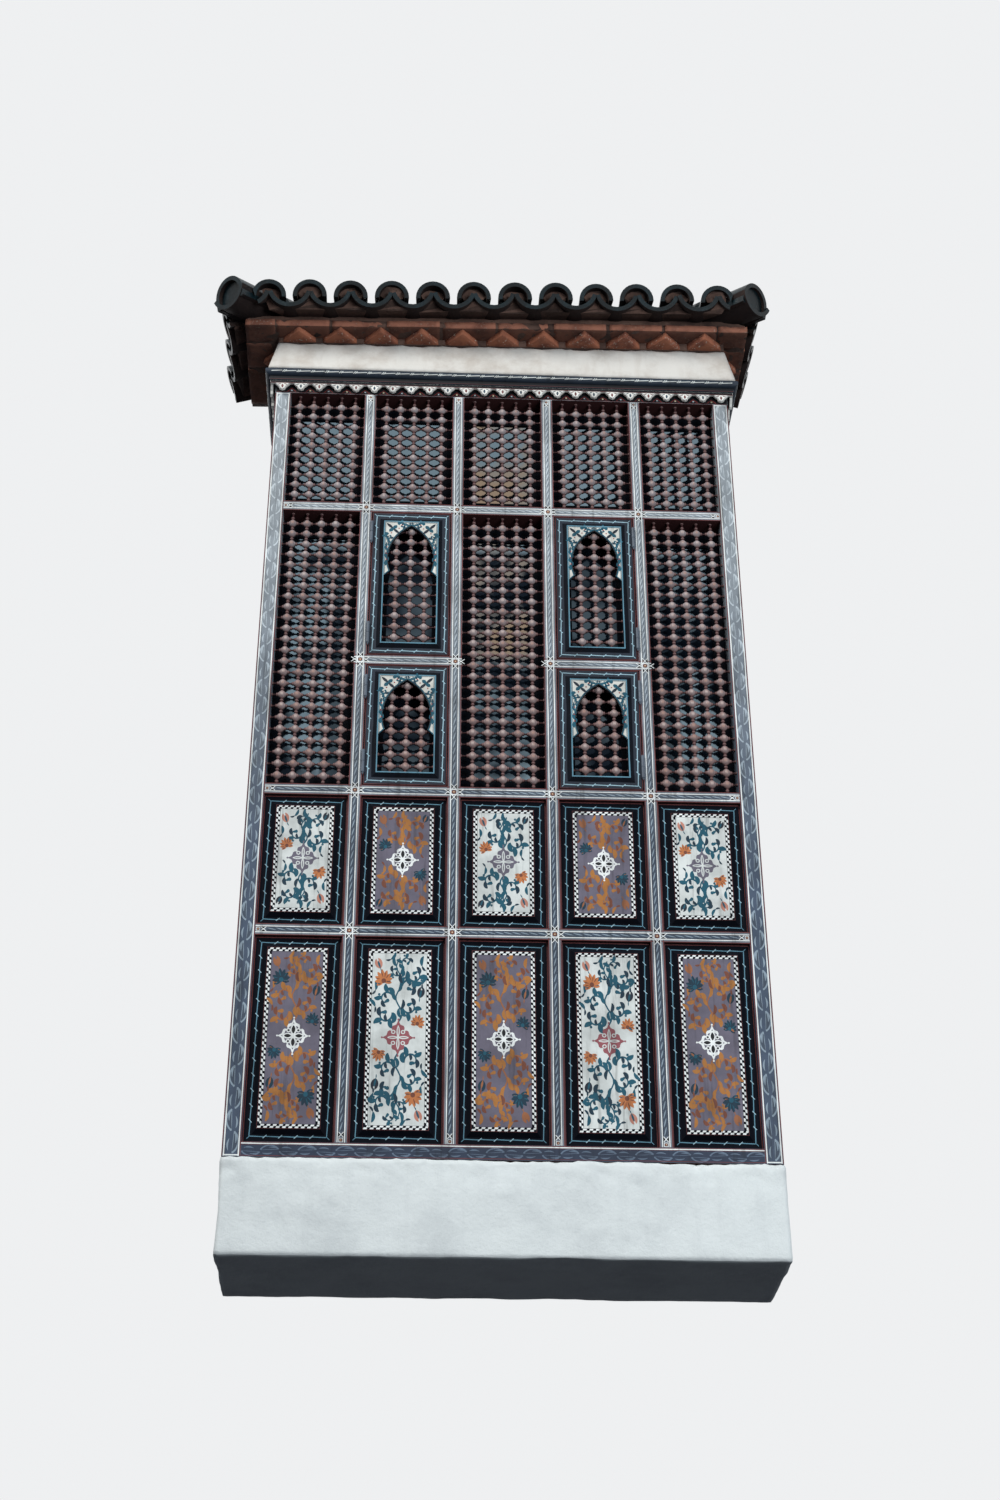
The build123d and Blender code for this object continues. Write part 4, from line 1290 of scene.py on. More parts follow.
class Sketch:
    """Thin closed strokes on flat faces, gathered into one piece."""

    def __init__(self, name):
        self.name = name
        self.points, self.faces, self.paints, self.used = [], [], [], []
        self.count, self.layer = 0, 0
        self.on(Matrix.Identity(4))

    def on(self, place):
        """The face that the next strokes lie on."""
        self.turn = np.array(place.to_3x3())
        self.shift = np.array(place.translation)

    def ink(self, key):
        if key not in self.used:
            self.used.append(key)
        return self.used.index(key)

    def shape(self, outline, key, lift=0.0003, strips=None):
        """A closed outline, anticlockwise as seen, raised by lift. Strips are its top faces, if given."""
        flat = np.asarray(outline, dtype=float)
        count = len(flat)
        self.layer = (self.layer + 0.618034) % 1.0
        lift += 0.00009 * self.layer
        top = np.column_stack([flat[:, 0], np.full(count, -lift), flat[:, 1]])
        foot = np.column_stack([flat[:, 0], np.full(count, 0.0002), flat[:, 1]])
        self.points.append(np.concatenate([top, foot]) @ self.turn.T + self.shift)
        base, paint = self.count, self.ink(key)
        tops = strips or [list(range(count))]
        self.faces += [[base + i for i in face] for face in tops]
        for k in range(count):
            a, b = base + k, base + (k + 1) % count
            self.faces.append([a, a + count, b + count, b])
        self.paints += [paint] * (len(tops) + count)
        self.count += 2 * count

    def box(self, x0, z0, x1, z1, key, lift=0.0003):
        self.shape([(x0, z0), (x1, z0), (x1, z1), (x0, z1)], key, lift)

    def ribbon(self, path, width, key, lift=0.0003):
        """A stroke along a path; width is one number or one for each point."""
        line = np.asarray(path, dtype=float)
        count = len(line)
        widths = np.full(count, width) if np.isscalar(width) else np.asarray(width, dtype=float)
        along = np.gradient(line, axis=0)
        along /= np.maximum(np.linalg.norm(along, axis=1), 1e-9)[:, None]
        side = np.column_stack([along[:, 1], -along[:, 0]]) * (widths / 2)[:, None]
        right, left = line + side, line - side
        outline = np.concatenate([right, left[::-1]])
        strips = [[k, k + 1, 2 * count - 2 - k, 2 * count - 1 - k] for k in range(count - 1)]
        self.shape(outline, key, lift, strips)

    def line(self, x0, z0, x1, z1, width, key, lift=0.0003, step=0.08):
        """A long straight line as a steady hand draws it."""
        length = hypot(x1 - x0, z1 - z0)
        parts = max(1, round(length / step))
        path, widths = [], []
        for i in range(parts + 1):
            share = i / parts
            path.append((x0 + (x1 - x0) * share + hand.uniform(-shake, shake),
                         z0 + (z1 - z0) * share + hand.uniform(-shake, shake)))
            widths.append(width * hand.uniform(0.85, 1.12))
        self.ribbon(path, widths, key, lift)

    def leaf(self, x, z, angle, length, width, key, bend=0.0, lift=0.0004, steps=8):
        """A pointed leaf from its stalk at (x, z); a bend makes it a crescent."""
        right, left = [], []
        for i in range(steps):
            share = i / (steps - 1)
            turn = angle + bend * share
            half = width / 2 * sin(pi * min(0.97, share * 0.92 + 0.04)) ** 0.8
            right.append((x + sin(turn) * half, z - cos(turn) * half))
            left.append((x - sin(turn) * half, z + cos(turn) * half))
            x += length / (steps - 1) * cos(turn)
            z += length / (steps - 1) * sin(turn)
        self.shape(right + left[::-1], key, lift)

    def dot(self, x, z, radius, key, lift=0.0005, sides=8):
        rim = [polar(radius, 2 * pi * k / sides, x, z) for k in range(sides)]
        self.shape(rim, key, lift)

    def finished(self, slot, *nodes):
        """Turns the strokes into one piece that rides on the frame."""
        mesh = bpy.data.meshes.new(self.name)
        mesh.from_pydata(np.concatenate(self.points).tolist(), [], self.faces)
        for key in self.used:
            mesh.materials.append(inks[key])
        mesh.polygons.foreach_set("material_index", self.paints)
        mesh.update()
        settle(new_object(self.name, mesh), slot, *nodes)
        print(self.name, len(self.faces), "faces")


print("strokes ready")

# %% [markdown]
# Every timber of the front carries the same band: red edges, a grey strip and a white line on either
# side of a dark channel, where leaf strokes lean one over the next like a twisted ribbon. A rail uses the
# same drawing turned on its side.
# %% Painted bands
lying = quarter(1, "Y")
band_lines = [(0.0206, 0.0032, "oxblood", 0.0003), (0.0168, 0.0034, "grey", 0.0002),
              (0.0115, 0.0034, "white", 0.0004), (0.0089, 0.0016, "black", 0.0003)]
star_reach = 0.030


def band_edges(sketch, low, high, lines, squeeze=1.0):
    """The straight lines on both sides of a band, from low to high along z."""
    for offset, width, key, lift in lines:
        for side in (-1, 1):
            sketch.line(side * offset * squeeze, low, side * offset * squeeze, high, width, key, lift)


def twist(sketch, low, high, reach, pace):
    """A dark channel with pale leaf strokes that all lean the same way."""
    sketch.line(0, low, 0, high, 2.7 * reach, "channel", 0.0002)
    count = max(1, round((high - low) / pace))
    pace = (high - low) / count
    lean_by = atan2(pace, 1.2 * reach)
    for i in range(count):
        z = low + pace * (i + 0.02)
        length = pace * hand.uniform(1.0, 1.1)
        sketch.leaf(-0.75 * reach, z, lean_by, length, reach * 0.62, "pale_blue", 0.0, 0.0004)
        sketch.leaf(-0.1 * reach, z - pace * 0.1, lean_by, length * 0.8, reach * 0.30, "strand", 0.1, 0.00045)


def star_arm(sketch, start, end, half):
    """One arm of a crossing: a white X with a dark triangle on either side."""
    middle = (start + end) / 2
    for side in (-1, 1):
        tip = [(side * half, start + 0.002), (side * half, end - 0.002), (side * 0.0016, middle)]
        sketch.shape(tip if side > 0 else tip[::-1], "black", 0.0003)
        sketch.ribbon([(-side * half, start), (side * half, end)], 0.0024, "white", 0.0005)


def end_stamp(sketch, z, half=0.0080):
    """A brown square with a pale dot in it, at a crossing or at the end of a band."""
    sketch.box(-half, z - half, half, z + half, "white", 0.0004)
    inner = half - 0.0020
    sketch.box(-inner, z - inner, inner, z + inner, "channel", 0.00052)
    sketch.dot(0, z, inner * 1.15, "brown", 0.00065, 4)
    sketch.dot(0, z, inner * 0.8, "brown", 0.0007)
    sketch.dot(0, z, inner * 0.30, "cream", 0.00085)


def star(sketch, place, half_x, half_z):
    """The crossing of two bands."""
    for turn, reach in enumerate((half_x, half_z, half_x, half_z)):
        sketch.on(place @ quarter(turn, "Y"))
        star_arm(sketch, 0.0085, star_reach + 0.003, reach * 1.15)
    sketch.on(place)
    end_stamp(sketch, 0.0, 0.0102)


print("lines in a band", 2 * len(band_lines))

# %% [markdown]
# Muntins carry the band upright and rails carry it level. At every crossing four short arms and a stamp
# make a star, and the leaf strokes stop short of it. Each band also ends in a stamp of its own.
# %% Bands on the front timbers
front_levels = (panel_rail_z, lattice_rail_z, upper_rail_z)
channel_reach = 0.0062
rail_squeeze = 0.96
end_reach = 0.038
leaf_pace = 0.030
timber_paint = Sketch("front_timber_paint")
stops = sorted([bottom_rail_top, *front_levels, leaf_rail_z, head_z])
for x in muntin_x:
    timber_paint.on(at(x, front_y, 0))
    band_edges(timber_paint, bottom_rail_top + 0.001, head_z - 0.004, band_lines)
    for low, high in zip(stops, stops[1:]):
        start = low + (end_reach if low == bottom_rail_top else star_reach)
        end = high - (end_reach if high == head_z else star_reach)
        twist(timber_paint, start, end, channel_reach, leaf_pace)
    end_stamp(timber_paint, bottom_rail_top + 0.009, 0.0072)
    star_arm(timber_paint, bottom_rail_top + 0.018, bottom_rail_top + 0.036, 0.0078)
    end_stamp(timber_paint, head_z - 0.013, 0.0072)
    star_arm(timber_paint, head_z - 0.036, head_z - 0.021, 0.0078)
    timber_paint.line(-0.0135, head_z - 0.003, 0.0135, head_z - 0.003, 0.004, "white", 0.0005)


def level_band(level, left, right, crossings, ends):
    """The band of one rail from left to right, with its vine between the crossings."""
    timber_paint.on(at(0, front_y, level) @ lying)
    raised_lines = [(offset, width, key, lift + 0.00005) for offset, width, key, lift in band_lines]
    band_edges(timber_paint, left, right, raised_lines, rail_squeeze)
    stops = [left, *crossings, right]
    for low, high in zip(stops, stops[1:]):
        start = low + (star_reach if low in crossings else end_reach)
        end = high - (star_reach if high in crossings else end_reach)
        if end - start > 0.05:
            twist(timber_paint, start, end, channel_reach * 0.94, leaf_pace)
    if ends:
        for end, inward in ((left, 1), (right, -1)):
            end_stamp(timber_paint, end + inward * 0.009, 0.0068)
            arm = sorted((end + inward * 0.018, end + inward * 0.036))
            star_arm(timber_paint, *arm, 0.0076)


inner_edge = half_width - post_width
for level in front_levels:
    level_band(level, -inner_edge, inner_edge, muntin_x, True)
for column in leaf_columns:
    pair = muntin_x[column - 1], muntin_x[column]
    level_band(leaf_rail_z, pair[0] - muntin_width / 2, pair[1] + muntin_width / 2, list(pair), False)
for x in muntin_x:
    for level in (*front_levels, leaf_rail_z):
        star(timber_paint, at(x, front_y - 0.0001, level), 0.0090, 0.0088)
timber_paint.finished("frame_paint")

# %% [markdown]
# The corner posts are wider, so their vine has room for full leaves. The side faces of the bay carry
# the same bands, a little plainer. The bottom rail is darker, with large outlined leaves end to end.
# %% Corner posts, sides and bottom rail
post_lines = [(0.0282, 0.0030, "oxblood", 0.0003), (0.0232, 0.0040, "white", 0.0004),
              (0.0204, 0.0012, "black", 0.0003)]
upright = pi / 2


def leaf_chain(sketch, low, high, width, pace, line_key, ground):
    """Outlined leaves end to end that sway from side to side, each with a small one on either side."""
    count = max(1, round((high - low) / pace))
    pace = (high - low) / count
    for i in range(count):
        side = 1 if i % 2 else -1
        z = low + pace * (i + 0.03)
        for across, up, turn, long, wide, key, bend, lift in (
            (-0.12, 0.0, 0.42, 1.02, 0.62, line_key, -0.9, 0.0003),
            (-0.12, 0.09, 0.42, 0.80, 0.40, ground, -0.85, 0.0004),
            (0.30, 0.12, -0.3, 0.55, 0.17, line_key, 0.8, 0.0005),
            (-0.38, 0.45, 0.1, 0.5, 0.14, line_key, -0.5, 0.0005),
        ):
            sketch.leaf(side * across * width, z + pace * up, upright + side * turn, pace * long,
                        width * wide, key, side * bend, lift)


def post_band(sketch, place, scale=1.0):
    """The wide band of a post, from the slab to the head rail."""
    low, high = slab_top + 0.002, head_z - 0.002
    sketch.on(place)
    band_edges(sketch, low, high, post_lines, scale)
    leaf_chain(sketch, low + 0.006, high - 0.006, 0.0330 * scale, 0.074, "pale_blue", "channel")
    for z in (low + 0.003, high - 0.003):
        sketch.line(-0.024 * scale, z, 0.024 * scale, z, 0.0042, "white", 0.0005)


post_paint = Sketch("post_and_side_paint")
post_x = half_width - post_width / 2
for side in (-1, 1):
    post_band(post_paint, at(side * post_x, front_y, 0))
    outer = side * half_width
    post_band(post_paint, at(outer, front_y + frame_depth / 2, 0) @ quarter(side), 1.35)
    post_band(post_paint, at(outer, side_back_y / 2, 0) @ quarter(side), 0.9)
    for level in front_levels:
        post_paint.on(side_place(side, level) @ lying)
        band_edges(post_paint, -side_width / 2, side_width / 2, band_lines, rail_squeeze)
        twist(post_paint, -side_width / 2, side_width / 2, channel_reach, leaf_pace)


def leaf_band(sketch, place, length, height):
    """The bottom rail's band: a white line above and faint leaves on a dark ground."""
    sketch.on(place)
    half = height / 2
    sketch.box(-half + 0.001, -length / 2 + 0.001, half - 0.001, length / 2 - 0.001, "dark_slate", 0.0002)
    for offset, width, key in ((-half + 0.0022, 0.0030, "oxblood"), (-half + 0.0058, 0.0040, "white"),
                               (-half + 0.0095, 0.0014, "oxblood"), (half - 0.004, 0.0022, "oxblood")):
        sketch.line(offset, -length / 2, offset, length / 2, width, key, 0.0004)
    sketch.on(place @ at(0.004, 0, 0))
    leaf_chain(sketch, -length / 2, length / 2, 0.028, 0.060, "slate", "dark_slate")


bottom_rail_height = bottom_rail_top - slab_top
rail_middle = (slab_top + bottom_rail_top) / 2
front_rail = at(0, front_y, rail_middle)
leaf_band(post_paint, front_rail @ lying, 2 * inner_edge, bottom_rail_height)
for side in (-1, 1):
    leaf_band(post_paint, side_place(side, rail_middle) @ lying, side_width, bottom_rail_height)
post_paint.finished("frame_paint")

# %% [markdown]
# A broken line runs round every leaf and panel: short strokes that overlap at a slant, so that they
# read as a twisted cord. It is white on the leaves and green-blue on the dark margins of the panels.
# %% Broken lines
def cord_line(sketch, length, key, thick=0.0026, tick="tick", stroke=0.052, slant=0.0028, lift=0.0004):
    """Slanting strokes along z about the middle of the current face, with a bright tick where two meet."""
    count = max(1, round(length / stroke))
    pace = length / count
    for i in range(count):
        low = -length / 2 + pace * i
        high = low + pace
        sketch.ribbon([(-slant * 0.3, low + 0.002), (slant * 0.3, high - 0.002)], thick, key, lift)
        if i < count - 1:
            meeting = [(slant * 1.9, high - 0.006), (-slant * 1.9, high + 0.006)]
            sketch.ribbon(meeting, thick * 0.9, tick, lift + 0.00015)


def cord_frame(sketch, place, width, height, inset, key, **given):
    """The broken line round a rectangle whose lower middle is at the place."""
    for x in (-width / 2 + inset, width / 2 - inset):
        sketch.on(place @ at(x, 0, height / 2))
        cord_line(sketch, height - 2 * inset, key, **given)
    for z in (inset, height - inset):
        sketch.on(place @ at(0, 0, z) @ lying)
        cord_line(sketch, width - 2 * inset, key, **given)
    for x, z in ((-1, -1), (1, -1), (1, 1), (-1, 1)):
        corner = (x * (width / 2 - inset), 0, height / 2 + z * (height / 2 - inset))
        sketch.on(place @ at(*corner))
        sketch.ribbon([(x * 0.008, z * 0.008), (-x * 0.002, -z * 0.002)], 0.0022, key, 0.0005)


def frame_line(sketch, place, width, height, inset, thickness, key, lift=0.0004):
    """A plain line round a rectangle."""
    sketch.on(place)
    low_x, high_x = -width / 2 + inset, width / 2 - inset
    for x in (low_x, high_x):
        sketch.line(x, inset - thickness / 2, x, height - inset + thickness / 2, thickness, key, lift)
    for z in (inset, height - inset):
        sketch.line(low_x, z, high_x, z, thickness, key, lift + 0.00008)


leaf_paint = Sketch("leaf_paint_lines")
leaf_raise = 0.009
for column, span in leaf_spots:
    width, height = (size - 2 * leaf_clearance for size in span_of(column, span))
    place = front_place(column, span[0] + leaf_clearance)
    frame_line(leaf_paint, place, width, height, 0.0165, 0.0250, "night", 0.0002)
    frame_line(leaf_paint, place, width, height, 0.0020, 0.0018, "oxblood")
    cord_frame(leaf_paint, place, width, height, 0.0160, "tick", thick=0.0034, slant=0.0030)
    raised = front_place(column, span[0] + leaf_clearance, -leaf_raise)
    frame_line(leaf_paint, raised, width, height, 0.0462, 0.0046, "cord")
leaf_paint.finished("leaf_paint")

# %% [markdown]
# The panels are the painter's show pieces. On a pale or a mauve ground, shoots curl between crescent
# leaves, and fan flowers and tulips fill the corners round a four-lobed medallion. Each half is the other
# turned by half a turn. The layout here is a plain workshop pattern of that kind.
# %% Curling shoots
def curl_points(cx, cz, radius, start, swing, shrink=0.74, count=20):
    """A shoot that curls inwards about (cx, cz)."""
    path = []
    for i in range(count):
        share = i / (count - 1)
        path.append(polar(radius * (1 - shrink * share), start + swing * share, cx, cz))
    return path


def scroll(sketch, keys, x, z, radius, start, spin, thick=0.25):
    """A stalk that winds inwards to a berry, with crescent leaves along it."""
    path = curl_points(x, z, radius, start, spin * 5.2)
    count = len(path)
    widths = [radius * thick * (1 - 0.5 * i / count) for i in range(count)]
    sketch.ribbon(path, widths, keys["stalk"], 0.0003)
    for i, place in enumerate((0, 3, 5, 8, 11, 14)):
        (ax, az), (bx, bz) = path[place], path[place + 1]
        heading = atan2(bz - az, bx - ax)
        inside = i % 3 == 2
        size = radius * (0.80 if inside else 1.22) * hand.uniform(0.9, 1.1) * (1 - 0.03 * i)
        turn = heading + spin * (0.8 if inside else -0.7)
        bend = spin * (1.5 if i % 2 == 0 else -1.1)
        key = keys["second"] if i in (2, 4) else keys["leaf"]
        sketch.leaf(ax, az, turn, size, size * 0.52, key, bend, 0.0004)
    sketch.dot(*path[-1], radius * 0.24, keys["leaf"], 0.0005)
    berry = polar(radius * 1.12, start + spin * 2.2, x, z)
    sketch.dot(*berry, radius * 0.17, keys["leaf"], 0.0005, 7)


print("points of a shoot", len(curl_points(0, 0, 1, 0, 1)))

# %% [markdown]
# Two kinds of flower fill the corners. Both are built up from the leaf stroke, as a painter lays them with
# one brush: petals first, then veins or a heart.
# %% Fan flowers and tulips
def fan_flower(sketch, keys, x, z, size, angle):
    """Nine petals in a round fan, each with a vein, over a cup with two sepals."""
    for k in range(-4, 5):
        turn = angle + k * 0.49
        reach = size * (1.0 - 0.065 * abs(k))
        sketch.leaf(x, z, turn, reach, size * 0.36, keys["petal"], 0.0, 0.0005 + 0.00012 * (k % 2))
        vein = polar(0.3 * reach, turn, x, z)
        sketch.leaf(*vein, turn + 0.2, reach * 0.6, size * 0.09, keys["vein"], 0.0, 0.00062)
    for side in (-1, 1):
        sketch.leaf(x, z, angle + side * 1.5, size * 0.62, size * 0.24, keys["stalk"], side * 1.0, 0.00058)
    sketch.dot(x, z, size * 0.22, keys["vein"], 0.0007)


def tulip(sketch, petal, heart, x, z, size, angle):
    """Two curved petals and a slim heart."""
    for spread in (0.62, -0.62):
        sketch.leaf(x, z, angle + spread, size, size * 0.34, petal, -spread * 1.9, 0.0005)
    sketch.leaf(x, z, angle, size * 0.72, size * 0.20, heart, 0.0, 0.0006)
    sketch.leaf(x, z, angle + pi, size * 0.4, size * 0.10, heart, 0.4, 0.0004)


print("flowers ready")

# %% [markdown]
# A medallion covers the place where the two halves of a field meet, and two rows of slanted dashes close
# the field on all sides.
# %% Medallion and checked border
medallion_reach = (1.0, 0.76, 0.735, 0.75, 0.69, 0.53)


def medallion(sketch, keys, half_x=0.051, half_z=0.062):
    """A four-lobed medallion with pointed ends, four petals and dots inside."""
    outline = []
    for k in range(4):
        for j in range(-5, 5):
            angle = pi / 2 * (k + j / 10)
            reach = medallion_reach[abs(j)]
            outline.append((reach * half_x * cos(angle), reach * half_z * sin(angle)))
    body = np.array(outline)
    sketch.shape(body, keys["medallion"], 0.0006)
    sketch.shape(body * 0.78, keys["inlay"], 0.0007)
    for k in range(4):
        angle = pi / 2 * k
        half = half_x if k % 2 == 0 else half_z
        wide, slim = half_x * keys["petals"], half_x * (keys["petals"] - 0.16)
        sketch.leaf(0, 0, angle, half * 0.68, wide, keys["lines"], 0.0, 0.0008 + 0.00003 * k)
        sketch.leaf(*polar(half * 0.14, angle), angle, half * 0.44, slim, keys["dots"], 0.0, 0.001)
        sketch.dot(*polar(half * 1.03, angle), 0.0034, keys["medallion"], 0.00065)
        tip = angle + pi / 4
        x, z = 0.44 * half_x * cos(tip), 0.44 * half_z * sin(tip)
        sketch.dot(x, z, half_x * 0.15, keys["lines"], 0.0009)
        sketch.dot(x, z, half_x * 0.08, keys["dots"], 0.001, 6)
    sketch.dot(0, 0, half_x * 0.11, keys["lines"], 0.00105)


def check_border(sketch, place, width, height, inset, depth, key):
    """Two rows of slanted dashes round a field, offset by half a step."""
    row = depth / 2
    across, upwards = width - 2 * inset, height - 2 * depth - 2 * inset
    sides = ((0, inset, 0, across), (0, height - inset, 2, across),
             (inset - width / 2, height / 2, 1, upwards), (width / 2 - inset, height / 2, 3, upwards))
    for x, z, turns, length in sides:
        sketch.on(place @ at(x, 0, z) @ quarter(turns, "Y"))
        count = round(length / 0.0200)
        pace = length / count
        for i in range(2 * count):
            line, low = i % 2, -length / 2 + pace * i / 2
            high = min(low + pace * 0.56, length / 2 - 0.002)
            near, far = row * (line + 0.06), row * (line + 0.94)
            if high - low > 0.003:
                dash = [(low, near), (high, near), (high + 0.002, far), (low + 0.002, far)]
                sketch.shape(dash, key, 0.0004)


print("medallion and border ready")

# %% [markdown]
# A scheme says which paint each part of the ornament takes. A layout lists the shoots, flowers and leaves
# of half a field, each with its place in millimetres from the middle, its size and its heading.
# %% Schemes and layouts
schemes = {
    "pale": dict(
        ground="bone", stalk="teal", leaf="teal", second="deep_teal", petal="orange", vein="brown",
        medallion="mauve", inlay="mauve", lines="bone", dots="mauve", petals=0.22, bud="pink",
        dark_bud="night",
    ),
    "mauve": dict(
        ground="mauve", stalk="ochre", leaf="amber", second="brown", petal="deep_teal", vein="teal",
        medallion="white", inlay="mauve", lines="white", dots="black", petals=0.40, bud="ochre",
        dark_bud="deep_teal",
    ),
}
schemes["rose"] = {**schemes["pale"], "medallion": "rose", "inlay": "rose", "dots": "rose"}
full_half = 0.0895
tallness = 1.18
short_layout = [
    ("fan", -60, 50, 30, 1.9), ("scroll", 47, 80, 27, 3.3, 1), ("scroll", -30, 100, 25, 0.3, -1),
    ("scroll", 44, 138, 25, 3.9, -1), ("scroll", -8, 152, 20, 5.0, 1), ("bud", -64, 140, 36, 1.95),
    ("dark_bud", 70, 152, 30, 1.15), ("leaf", -80, 96, 26, 1.2), ("leaf", 62, 22, 24, 1.9),
    ("leaf", -38, 168, 24, 0.6),
]
tall_layout = [
    ("fan", 62, 52, 30, 1.3), ("scroll", -46, 82, 28, 0.2, -1), ("scroll", 36, 112, 26, 3.4, 1),
    ("scroll", -42, 140, 26, 0.4, 1), ("dark_bud", 68, 146, 36, 1.35), ("scroll", 34, 184, 27, 3.0, -1),
    ("fan", -52, 204, 38, 1.75), ("scroll", 52, 232, 26, 3.4, 1), ("scroll", -12, 244, 22, 0.2, -1),
    ("bud", -64, 254, 36, 1.95), ("scroll", 24, 276, 21, 4.2, -1), ("leaf", 74, 262, 30, 1.9),
    ("leaf", -78, 112, 28, 1.9), ("leaf", 76, 196, 26, 1.3), ("leaf", -78, 172, 26, 1.2),
    ("leaf", -30, 288, 26, 0.5),
]
print("parts in half a field", len(short_layout), "short", len(tall_layout), "tall")

# %% [markdown]
# Pale and mauve fields take turns along each row of panels. A stem with small leaves rises from the
# medallion through each half, and the layout is drawn on either side of it. The sunk margin round the
# raised field gets its broken line and the checked border its dashes.
# %% Painted panels
def painted_half(sketch, keys, layout, spread, half_z):
    """One half of a field, upwards from the medallion, drawn tall. The layout is in millimetres."""
    stem = []
    for i in range(16):
        share = i / 15
        stem.append((0.011 * sin(share * half_z * 42), (0.055 + share * (half_z - 0.070)) / tallness))
    sketch.ribbon(stem, [0.0052 - 0.0016 * i / 16 for i in range(16)], keys["stalk"], 0.0003)
    for i in range(1, 14, 2):
        side = 1 if i % 4 == 1 else -1
        key = "leaf" if i % 3 else "second"
        sketch.leaf(*stem[i], pi / 2 + side * 0.85, 0.032, 0.0115, keys[key], -side * 1.5, 0.00045)
    for kind, x, z, size, *rest in layout:
        level = (z * 0.98 * mm + hand.uniform(-0.002, 0.002)) / tallness
        spot, size = (x * mm * spread, level), size * mm * 0.94
        if kind == "scroll":
            scroll(sketch, keys, *spot, size, *rest)
        elif kind == "fan":
            fan_flower(sketch, keys, *spot, size, *rest)
        elif kind == "leaf":
            curl = 1.1 if x < 0 else -1.1
            back = 0.9 if x > 0 else -0.9
            sketch.leaf(*spot, rest[0], size * 1.15, size * 0.42, keys["leaf"], curl, 0.00045)
            sketch.leaf(*spot, rest[0] + pi, size * 0.7, size * 0.26, keys["second"], back, 0.00045)
        else:
            tulip(sketch, keys[kind], keys["stalk"], *spot, size, *rest)


panel_front = 0.001
margin_sunk = 0.014
field_inset = 0.0605


def painted_field(sketch, place, width, height, scheme, layout):
    """The whole painting of one panel, on its raised field and its sunk margin."""
    keys = schemes[scheme]
    sunk = place @ at(0, margin_sunk, 0)
    frame_line(sketch, sunk, width, height, 0.0030, 0.0034, "oxblood")
    cord_frame(sketch, sunk, width, height, 0.0225, "cord", thick=0.0030)
    frame_line(sketch, place, width, height, 0.0452, 0.0012, "oxblood")
    check_border(sketch, place, width, height, 0.0462, 0.0135, "white")
    half_x, half_z = width / 2 - field_inset, height / 2 - field_inset
    centre = place @ at(0, 0, height / 2)
    sketch.on(centre)
    sketch.box(-half_x, -half_z, half_x, half_z, keys["ground"], 0.0002)
    for turns in (0, 2):
        sketch.on(centre @ quarter(turns, "Y") @ Matrix.Diagonal((1, 1, tallness, 1)))
        painted_half(sketch, keys, layout, half_x / full_half, half_z)
    sketch.on(centre)
    medallion(sketch, keys)


short_paint = Sketch("short_panel_painting")
tall_paint = Sketch("tall_panel_painting")
side_paint = Sketch("side_panel_painting")
for column in range(5):
    odd = column % 2
    for sketch, span, scheme, layout in (
        (short_paint, short_panel_span, "mauve" if odd else "pale", short_layout),
        (tall_paint, tall_panel_span, "rose" if odd else "mauve", tall_layout),
    ):
        place = front_place(column, span[0], panel_front)
        painted_field(sketch, place, *span_of(column, span), scheme, layout)
side_panels = ((tall_panel_span, "rose", tall_layout), (short_panel_span, "mauve", short_layout))
for side in (-1, 1):
    for span, scheme, layout in side_panels:
        place = side_place(side, span[0], panel_front)
        painted_field(side_paint, place, side_width, opening_height(span), scheme, layout)
for sketch in (short_paint, tall_paint, side_paint):
    sketch.finished("panel_paint")

# %% [markdown]
# Each leaf's board is cut to a pointed horseshoe arch. The painter follows the cut with a green-blue
# band and fills both corners with an arabesque of small shoots, two dark lances and red dots.
# %% Arched boards
arch_side, arch_rise, arch_tail, arch_crown, arch_foot = 0.013, 0.150, 0.056, 0.018, 0.022


def arch_edge(half, out, count=15):
    """The right half of the arch from apex to tail, moved outwards by out, with z = 0 at the board's top."""
    arch_half = half - arch_side
    radius = (arch_half + arch_rise**2 / arch_half) / 2
    centre_x = radius - arch_half
    centre_z = -arch_crown - arch_rise
    start = acos(centre_x / (radius + out))
    end = -asin(arch_tail / radius)
    path = []
    for i in range(count):
        angle = start + (end - start) * i / (count - 1)
        x, z = polar(radius + out, angle, -centre_x, centre_z)
        path.append((max(0.0, x), z))
    return path


board_keys = dict(stalk="teal", leaf="teal", second="deep_teal")
board_scrolls = ((64, 17, 13, 0.3, 1), (17, 68, 13, 1.3, -1), (90, 9, 7, 0.0, -1), (9, 100, 8, 1.5, 1))
red_dots = ((0.052, -0.030), (0.024, -0.052), (0.008, -0.118), (0.007, -0.148), (0.008, -0.176),
            (0.062, -0.015))
star_x, star_z = 0.030, -0.031
board_paint = Sketch("arched_board_painting")


